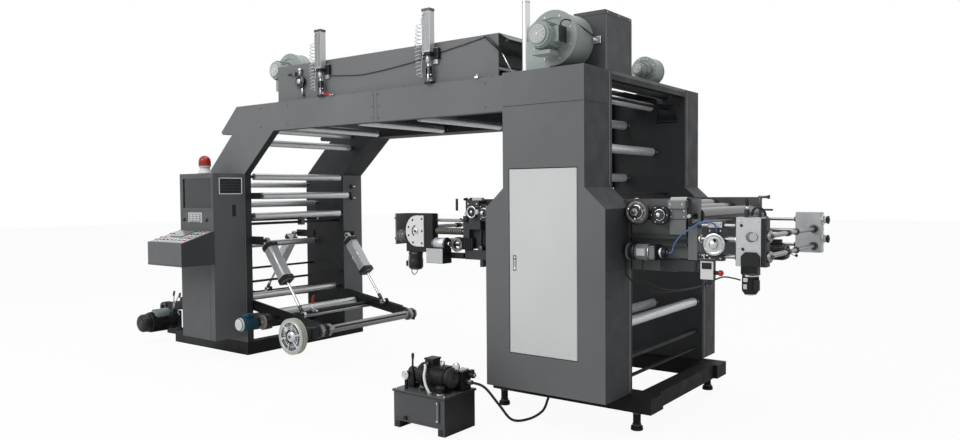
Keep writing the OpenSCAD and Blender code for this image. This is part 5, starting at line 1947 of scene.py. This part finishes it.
        # flange knobs and hub grooves
        for yy in (322, 418):
            for z in (1236, 1404):
                p.rod(X, (-2106, yy, z), 20, 13, 1, 6)
                p.rod(X, (-2114, yy, z), 9, 8, 3, 12)
        for x in (-2064, -2050):
            p.ring(X, (x, 356, 1258), 5, 62.5, 59.8, 2, 48)
        p.ring(X, (-2038, 356, 1258), 12, 47, 43.8, 3, 40)
        p.ring(X, (-2088.4, 356, 1258), 3, 50, 20, 3, 40)
        p.done("frame")

    def carriage(self) -> None:
        """Dial, air unit, valve, red knob and ruler of the throw-off carriage."""
        p = Part("unit_carriage", self.finishes, "panel_white", "bright_steel", "motor_black", "button_red",
            "dark_steel", "dial_white", "alu", "white_paint")
        x, z = 586.0, 1276.0
        p.ring(Y, (x, 314, z), 6, 69, 50, 1, 56)
        p.ring(Y, (x, 315, z), 3.4, 50, 24.3, 5, 44)
        p.ring(Y, (x, 299, z), 17, 26, 24.2, 1, 32)
        p.rod(Y, (x, 295, z), 5, 25, 1, 32)
        p.fins(Y, (x, z), (313.2, 314.6), 58, 36, (4, 4), 0.7, 2, 0)
        p.rod(Y, (x + 20, 280, z + 30), 36, 6, 1, 12)
        p.turned(Y, (x + 20, 262, z + 30), [(0, 5), (4, 10), (14, 11), (20, 7)], 2, 16)
        # air unit: white block, bowl, valve and knob
        p.box((497, 325, 1054), (580, 331, 1168), 7, 4)
        p.box((507, 321, 1120), (569, 327, 1160), 2, 3)
        p.rod(Z, (538, 353, 1000), 22, 21, 4, 24)
        p.rod(X, (577, 352, 1096), 30, 13, 2, 20)
        p.turned(X, (604, 352, 1096), [(0, 10), (4, 17), (16, 19), (24, 17), (30, 9)], 3, 24)
        p.box((486, 340, 1170), (592, 372, 1186), 4, 3)
        p.rod(Z, (512, 356, 1184), 24, 8, 1, 6)
        p.rod(Z, (566, 356, 1184), 24, 8, 1, 6)
        p.box((542, 338, 1380), (630, 343, 1416), 6, 1.5)
        p.screws(Y, [(x0, 342, z0) for x0 in (552, 620) for z0 in (1188, 1360, 1404)], 6, 4, 1, -1)
        # clamp rings where the guide rods meet the cheek and the block
        for y in (370, 1704):
            for zz, r in ((1200, 12), (1392, 12), (1306, 17)):
                for xx in (474, 705):
                    p.ring(X, (xx, y, zz), 14, r + 9, r + 0.3, 4 if r < 15 else 1, 28)
        p.done("frame")

    def motors(self) -> None:
        """Cowls, fins, plates, connectors and gears on the units' motors."""
        p = Part("unit_motor_trim", self.finishes, "motor_black", "bright_steel", "alu", "panel_white", "hose_blue",
            "dark_steel", "cap_grey")
        # under the near block
        x, y = 801.0, 354.0
        p.ring(Z, (x, y, 1098), 10, 60, 44, 5, 6)
        p.ring(Z, (x, y, 1088), 8, 51, 45.8, 1, 40)
        p.fins(Z, (x, y), (1000, 1084), 47, 24, (3, 3), 1.2)
        p.box((x - 28, y - 51, 1012), (x - 6, y - 44, 1042), 3, 2)
        p.box((x - 28, y - 51, 1056), (x - 2, y - 44, 1080), 3, 2)
        p.box((x + 30, y - 44, 1004), (x + 62, y - 12, 1070), 0, 5)
        p.turned(Z, (x, y, 972), [(0, 20), (4, 34), (10, 37)], 1, 36)
        # stepper along the web
        y, z = 276.0, 1216.0
        p.ring(X, (28, y, z), 13, 51, 16, 6, 44)
        p.fins(X, (y, z), (28, 42), 52, 30, (2.5, 2.5), 2, 6)
        p.ring(X, (70, y, z), 10, 53, 49.6, 5, 44)
        p.ring(X, (92, y, z), 84, 52, 49.7, 6, 44)
        p.ring(X, (180, y, z), 8, 54, 49.6, 1, 44)
        p.box((194, y - 53, z - 44), (232, y - 49.6, z + 44), 6, 2)
        p.box((108, y - 54.5, z - 22), (166, y - 48, z + 24), 3, 2)
        p.screws(Y, [(xx, y - 52, zz) for xx in (200, 226) for zz in (z - 36, z + 36)], 4.5, 4, 5, -1)
        p.ring(X, (250, y, z), 16, 34, 29.6, 1, 32)
        p.rod(X, (291, y, z), 14, 18, 5, 24)
        # behind the blocks, on the far side
        y, z = 1594.0, 1150.0
        p.fins(X, (y, z), (540, 656), 61, 24, (3, 3), 1.2)
        p.turned(X, (670, y, z), [(0, 56), (10, 54), (22, 46), (26, 20)], 5, 36)
        p.box((570, y - 30, z + 58), (640, y + 30, z + 92), 0, 4)
        p.tube([(690, y - 20, z + 10), (720, y - 30, z - 10), (752, y - 34, z - 22)], 6, 1, 10, 3)
        p.turned(X, (746, y - 34, z - 22), [(0, 5), (6, 11), (14, 12), (20, 6)], 0, 16)
        p.done("frame")

    def left_details(self) -> None:
        """Motors, ring, ribbed block, levers and belt of the far unit's operator side."""
        p = Part("unit_left_trim", self.finishes, "motor_black", "bright_steel", "alu", "block_pale", "dark_steel",
            "panel_white", "rubber_black", "cast_grey", "cap_grey")
        # hanging motor with a bare strip
        x, y = -1913.0, 355.0
        p.ring(Z, (x, y, 1006), 70, 59, 55.6, 0, 44)
        p.turned(Z, (x, y, 984), [(0, 30), (5, 48), (16, 55)], 4, 40)
        p.box((x - 44, y - 48, 1004), (x - 20, y - 40, 1100), 2, 3)
        p.ring(Z, (x, y, 1112), 14, 64, 55.6, 4, 6)
        p.box((x - 84, y - 30, 1010), (x - 54, y + 20, 1056), 0, 5)
        # round motor lying along the web and its pale gearbox
        y, z = 290.0, 1211.0
        p.ring(X, (-1640, y, z), 100, 46.5, 43.6, 2, 44)
        p.turned(X, (-1662, y, z), [(0, 24), (4, 38), (13, 43)], 1, 40)
        p.ring(X, (-1538, y, z), 14, 50, 43.6, 4, 44)
        p.rod(X, (-1524, y, z), 22, 16, 1, 20)
        p.box((-1702, 238, 1059), (-1536, 243, 1173), 3, 4)
        p.box((-1707, 244, 1059), (-1703.5, 346, 1173), 3, 2)
        p.screws(Y, [(xx, 238, zz) for xx in (-1688, -1550) for zz in (1072, 1160)], 6, 4, 1, -1)
        # grey ribbed tube
        for k in range(15):
            p.ring(X, (-1697 + k * 18, 370, 1306), 11, 27, 17.3, 7, 28)
        # ring and ribbed block
        p.ring(Y, (-1463, 322, 1202), 5, 54, 34, 8, 44)
        for k in range(6):
            a = pi * k / 3 + 0.3
            p.screw(Y, (-1463 + 43 * cos(a), 322, 1202 + 43 * sin(a)), 4.5, 3.5, 4, -1)
        for k in range(6):
            p.box((-1428 + k * 17, 330, 1168), (-1417 + k * 17, 372, 1262), 0, 2)
        p.box((-1430, 340, 1172), (-1322, 389, 1258), 4, 3)
        # ball lever, plain lever, knob
        p.rod(Z, (-1335, 346, 1499), 44, 7, 1, 12)
        p.turned(Z, (-1335, 346, 1538), [(0, 6), (5, 14), (16, 18), (28, 14), (34, 5)], 0, 20)
        p.box((-1476, 332, 1470), (-1458, 344, 1564), 0, 4)
        p.turned(Y, (-1240, 286, 1463), [(0, 12), (4, 19), (20, 21), (30, 19), (34, 12)], 5, 24)
        p.rod(Y, (-1240, 318, 1463), 68, 9, 1, 14)
        # toothed belt down the cheek's edge
        belt = [(-1214, 1477), (-1232, 1430), (-1243, 1378), (-1252, 1280), (-1256, 1186), (-1244, 1184),
            (-1240, 1280), (-1231, 1378), (-1220, 1430), (-1202, 1474)]
        p.plate(belt, Y, 350, 372, 6)
        p.rod(Y, (-1250, 346, 1180), 40, 22, 4, 28)
        p.rod(Y, (-1206, 346, 1478), 40, 20, 4, 28)
        p.done("frame")


@dataclass
class UnitHoses:
    """Air lines and motor cables of the two print units."""

    finishes: Finishes

    def build(self) -> None:
        air_line = [(304, 276, 1216), (316, 276, 1216), (330, 278, 1226), (340, 288, 1270), (380, 300, 1330),
                    (440, 304, 1372), (500, 304, 1410), (560, 306, 1416), (592, 312, 1400), (600, 322, 1370),
                    (600, 334, 1348), (600, 342, 1340)]
        cable_a = [(28, 276, 1180), (18, 276, 1172), (4, 284, 1120), (8, 300, 1050), (60, 314, 1000),
                   (130, 322, 968), (210, 326, 950), (300, 326, 960), (400, 324, 978), (480, 324, 1000),
                   (520, 330, 1020), (536, 342, 1034), (538, 350, 1040)]
        cable_b = [(130, 276, 1164), (130, 276, 1148), (124, 290, 1090), (140, 316, 1020), (200, 322, 986),
                   (301, 324, 971), (467, 326, 1000), (577, 330, 1050), (640, 336, 1075), (700, 344, 1070),
                   (742, 352, 1060)]
        loop = [(-1943, 335, 999), (-1943, 335, 985), (-1938, 334, 962), (-1913, 332, 944), (-1888, 334, 962),
                (-1883, 337, 985), (-1883, 337, 999)]
        for name, line, radius, finish in (
            ("air_line_blue", air_line, 5.0, "hose_blue"),
            ("motor_cable_a", cable_a, 5.0, "rubber_black"),
            ("motor_cable_b", cable_b, 5.0, "rubber_black"),
            ("loop_cable", loop, 3.5, "rubber_black"),
        ):
            Hose(self.finishes, name, "frame", line, radius, finish, lay="hanging", rounds=5, sides=8,
                 stiffness="medium").build()


# ---------------------------------------------------------------- hydraulic unit and floor motor


@dataclass
class PowerTrim:
    """Sight glass, motor fins, gauges, lever, valve, cap and hose of the hydraulic unit."""

    finishes: Finishes
    x0: float = -1357.0
    x1: float = -906.0
    y0: float = -520.0
    y1: float = -190.0

    def build(self) -> None:
        """Builds the unit's pieces."""
        self.tank()
        self.motor()
        self.fittings()
        self.hose()

    def tank(self) -> None:
        """Sight glass, filler, drain, lid screws and rubber seal of the tank."""
        p = Part("tank_trim", self.finishes, "motor_black", "sight_glass", "bright_steel", "dark_steel",
            "rubber_black", "panel_white")
        x, y = -962.0, self.y0
        p.box((x - 17, y - 8, 88), (x + 17, y + 0.4, 232), 3, 5)
        p.box((x - 8, y - 10, 104), (x + 8, y - 7.4, 216), 1, 2)
        for z in (100, 220):
            p.rod(Y, (x, y - 16, z), 9, 8, 2, 6)
        p.screws(Y, [(xx, y, 70) for xx in (self.x0 + 24, self.x1 - 24)], 6, 4, 3, -1)
        p.rod(Y, (self.x0 + 110, y - 18, 76), 18.4, 15, 0, 6)
        p.box((self.x0 - 9.5, y - 9.5, 248), (self.x1 + 9.5, self.y1 + 9.5, 253), 4, 1.5)
        lid = [(xx, yy, 262) for xx in (self.x0 + 14, self.x1 - 14) for yy in (y + 14, self.y1 - 14)]
        p.screws(Z, lid, 8, 6, 2, 1)
        p.box((self.x0 + 6, y - 1.4, 60), (self.x1 - 6, y + 0.4, 66), 3, 1)
        for xx in (self.x0 + 16, self.x1 - 56):
            p.box((xx, y - 3, 0.5), (xx + 40, y + 0.5, 46), 4, 3)
        p.done("frame")

    def motor(self) -> None:
        """Cooling fins, fan cowl holes, feet, box cover and lifting eye of the pump motor."""
        p = Part("pump_motor_trim", self.finishes, "pump_navy", "motor_black", "bright_steel", "dark_steel", "alu")
        y, z = -375.0, 357.0
        p.fins(X, (y, z), (-1186, -986), 82, 40, (7, 7), 1.6, 0, 0.6,
               keep=lambda a: not (0.2 < (a / pi) % 2 < 0.8 and abs(cos(a)) < 0.55))
        p.turned(X, (-953, y, z), [(0, 70), (6, 66), (10, 56), (12, 20)], 1, 40)
        for k in range(5):
            p.ring(X, (-942.5, y, z), 2, 16 + k * 10, 12 + k * 10, 3, 36)
        p.ring(X, (-1212, y, z), 14, 82, 50, 0, 44)
        for k in range(4):
            a = pi / 4 + k * pi / 2
            p.rod(X, (-1226, y + 70 * cos(a), z + 70 * sin(a)), 16, 7, 2, 6)
        p.box((-1166, y - 46, 470), (-1086, y + 46, 482), 1, 6)
        p.rod(Y, (-1126, y - 62, 446), 22, 12, 3, 16)
        p.ring(Y, (-1040, y - 6, 452), 12, 20, 11, 2, 28)
        for x in (-1170, -1000):
            p.box((x - 16, y - 66, 262), (x + 16, y + 66, 274), 0, 3)
            p.screws(Z, [(x, y - 54, 274), (x, y + 54, 274)], 7, 6, 2, 1)
        p.done("frame")

    def fittings(self) -> None:
        """Gauges, hand lever, return pipe, valve coils and filler cap."""
        p = Part("pump_fittings", self.finishes, "alu", "dark_steel", "dial_white", "bright_steel", "white_paint",
            "brass", "motor_black", "glass_dark")
        gx, gz = -1281.0, 358.0
        p.ring(Y, (gx, -491, gz), 8, 30.5, 24, 3, 40)
        p.rod(Y, (gx, -489, gz), 3, 24.5, 2, 40)
        p.box((gx - 1, -490.6, gz - 2), (gx + 1, -488.6, gz + 18), 6, 0, Matrix.Rotation(0.7, 4, "Y"))
        # hand lever standing from the pump head
        p.tube([(-1262, -420, 372), (-1252, -440, 420), (-1240, -452, 474)], 7, 6, 12, 3)
        p.turned(Z, (-1240, -452, 468), [(0, 6), (6, 9), (34, 10), (40, 8), (44, 4)], 6, 18)
        # white return pipe
        p.tube([(-1140, -440, 440), (-1124, -456, 420), (-1104, -492, 376), (-1078, -506, 320), (-1052, -508, 284),
            (-1050, -500, 262)], 9, 4, 14, 5)
        p.rod(Z, (-1050, -500, 260), 18, 15, 3, 6)
        # second gauge and its pipe
        p.rod(Z, (-950, -330, 386), 26, 7, 5, 12)
        p.turned(Y, (-950, -352, 432), [(0, 20), (3, 26), (22, 27), (26, 22)], 3, 32)
        p.rod(Y, (-950, -353.5, 432), 3, 21, 2, 32)
        # valve coils on the block
        p.box((-982, -312, 391), (-924, -228, 404), 0, 3)
        p.rod(X, (-914, -245, 366), 48, 21, 6, 24)
        p.rod(X, (-868, -245, 366), 12, 12, 3, 6)
        p.box((-902, -262, 384), (-876, -228, 402), 6, 3)
        p.rod(X, (-1010, -245, 366), 26, 16, 3, 6)
        p.screws(Z, [(x, y, 404) for x in (-974, -932) for y in (-304, -236)], 5, 4, 3, 1)
        # filler cap
        p.turned(Z, (-986, -465, 294), [(0, 25), (6, 29), (22, 29), (26, 24), (28, 8)], 6, 32)
        for k in range(16):
            a = 2 * pi * k / 16
            p.rod(Z, (-986 + 28.5 * cos(a), -465 + 28.5 * sin(a), 300), 16, 2.6, 6, 8)
        p.ring(Z, (-986, -465, 262), 8, 32, 24.2, 3, 36)
        p.done("frame")

    def hose(self) -> None:
        """The pressure hose to the base rail, in place of the source's own."""
        line = [(-914, -280, 325), (-890, -280, 325), (-866, -280, 325), (-806, -210, 285), (-756, -110, 150),
                (-711, -20, 34), (-656, 110, 18), (-606, 210, 60), (-589, 256, 140), (-589, 282, 172),
                (-589, 298, 172), (-589, 312, 172)]
        piece = Hose(self.finishes, "pressure_hose", "frame", line, 9.0, "rubber_black", lay="taut", rounds=8,
                     sides=14, stiffness="stiff").build()
        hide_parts("hose")
        p = Part("hose_ends", self.finishes, "bright_steel", "dark_steel")
        p.rod(X, (-892, -280, 325), 20, 17, 0, 6)
        p.ring(X, (-873, -280, 325), 16, 15, 11.6, 1, 24)
        p.ring(Y, (-589, 286, 172), 12, 18, 11.6, 0, 24)
        p.done("frame")


@dataclass
class FloorMotorTrim:
    """Fins, levers, cap, dome and bolts of the drive motor beside the stand."""

    finishes: Finishes
    x: float = -5600.0
    z: float = 225.0

    def build(self) -> None:
        """Builds the motor's pieces."""
        p = Part("floor_motor_trim", self.finishes, "motor_black", "motor_grey", "bright_steel", "lever_brown",
            "dark_steel", "white_paint")
        x, z = self.x, self.z
        p.fins(Y, (x, z), (150, 330), 102, 36, (8, 8), 1.8, 0, 0.8)
        p.turned(Y, (x, 36, z), [(0, 56), (4, 74), (14, 88), (28, 95), (88, 97), (90, 95)], 0, 44)
        for k in range(5):
            p.ring(Y, (x, 34.6, z), 2, 14 + k * 9, 10 + k * 9, 4, 36)
        p.ring(Y, (x, 128, z), 14, 104, 89, 0, 48)
        # greenish hump with its screws
        hx, hz = -5575.0, 300.0
        p.ring(Y, (hx, 186, hz), 162, 64.5, 61.6, 1, 44)
        p.turned(Y, (hx, 176, hz), [(0, 40), (3, 52), (12, 60), (14, 62)], 1, 44)
        for k in range(6):
            a = pi * k / 3
            p.screw(Y, (hx + 46 * cos(a), 178, hz + 46 * sin(a)), 5, 4, 2, -1)
        # cone and two levers
        p.turned(Z, (-5440, 330, 300), [(0, 30), (30, 28), (60, 16), (72, 12)], 0, 28)
        for tip in ((-5360, 300, 560), (-5300, 330, 540)):
            p.tube([(-5440, 330, 362), ((-5440 + tip[0]) / 2 - 10, 322, 440), tip], 6, 2, 10, 4)
            end = Vector(tip)
            p.tube([end - Vector((12, 0, 40)), end + Vector((4, 0, 8))], 11, 3, 12, 1)
        p.tube([(-5440, 330, 350), (-5372, 300, 380), (-5330, 280, 420)], 6, 2, 10, 3)
        # foot rail, eye ring and bolts on the plate
        p.ring(Y, (-5330, 400, 150), 14, 34, 20, 2, 36)
        p.box((x - 118, 422, 62), (x - 100, 446, 328), 4, 2)
        p.screws(Y, [(xx, 425, zz) for xx in (x - 104, x + 112) for zz in (80, 310)], 9, 7, 2, -1)
        p.screws(Y, [(-5466, 425, zz) for zz in (100, 290)], 9, 7, 2, -1)
        p.done("frame")


def main() -> None:
    """Builds the press's looks in order."""
    logging.basicConfig(level=logging.INFO, format="%(name)s %(message)s")
    Studio().build()
    finishes = Finishes()
    SolidDressing(finishes).build()
    for part in (TowerTrim, RoofTrim, HoodTrim, BridgeTrim, CabinetTrim, DeskTrim, StandTrim, UnwindTrim, UnitTrim,
            UnitHoses, PowerTrim, FloorMotorTrim):
        part(finishes).build()


if __name__ == "__main__":
    main()
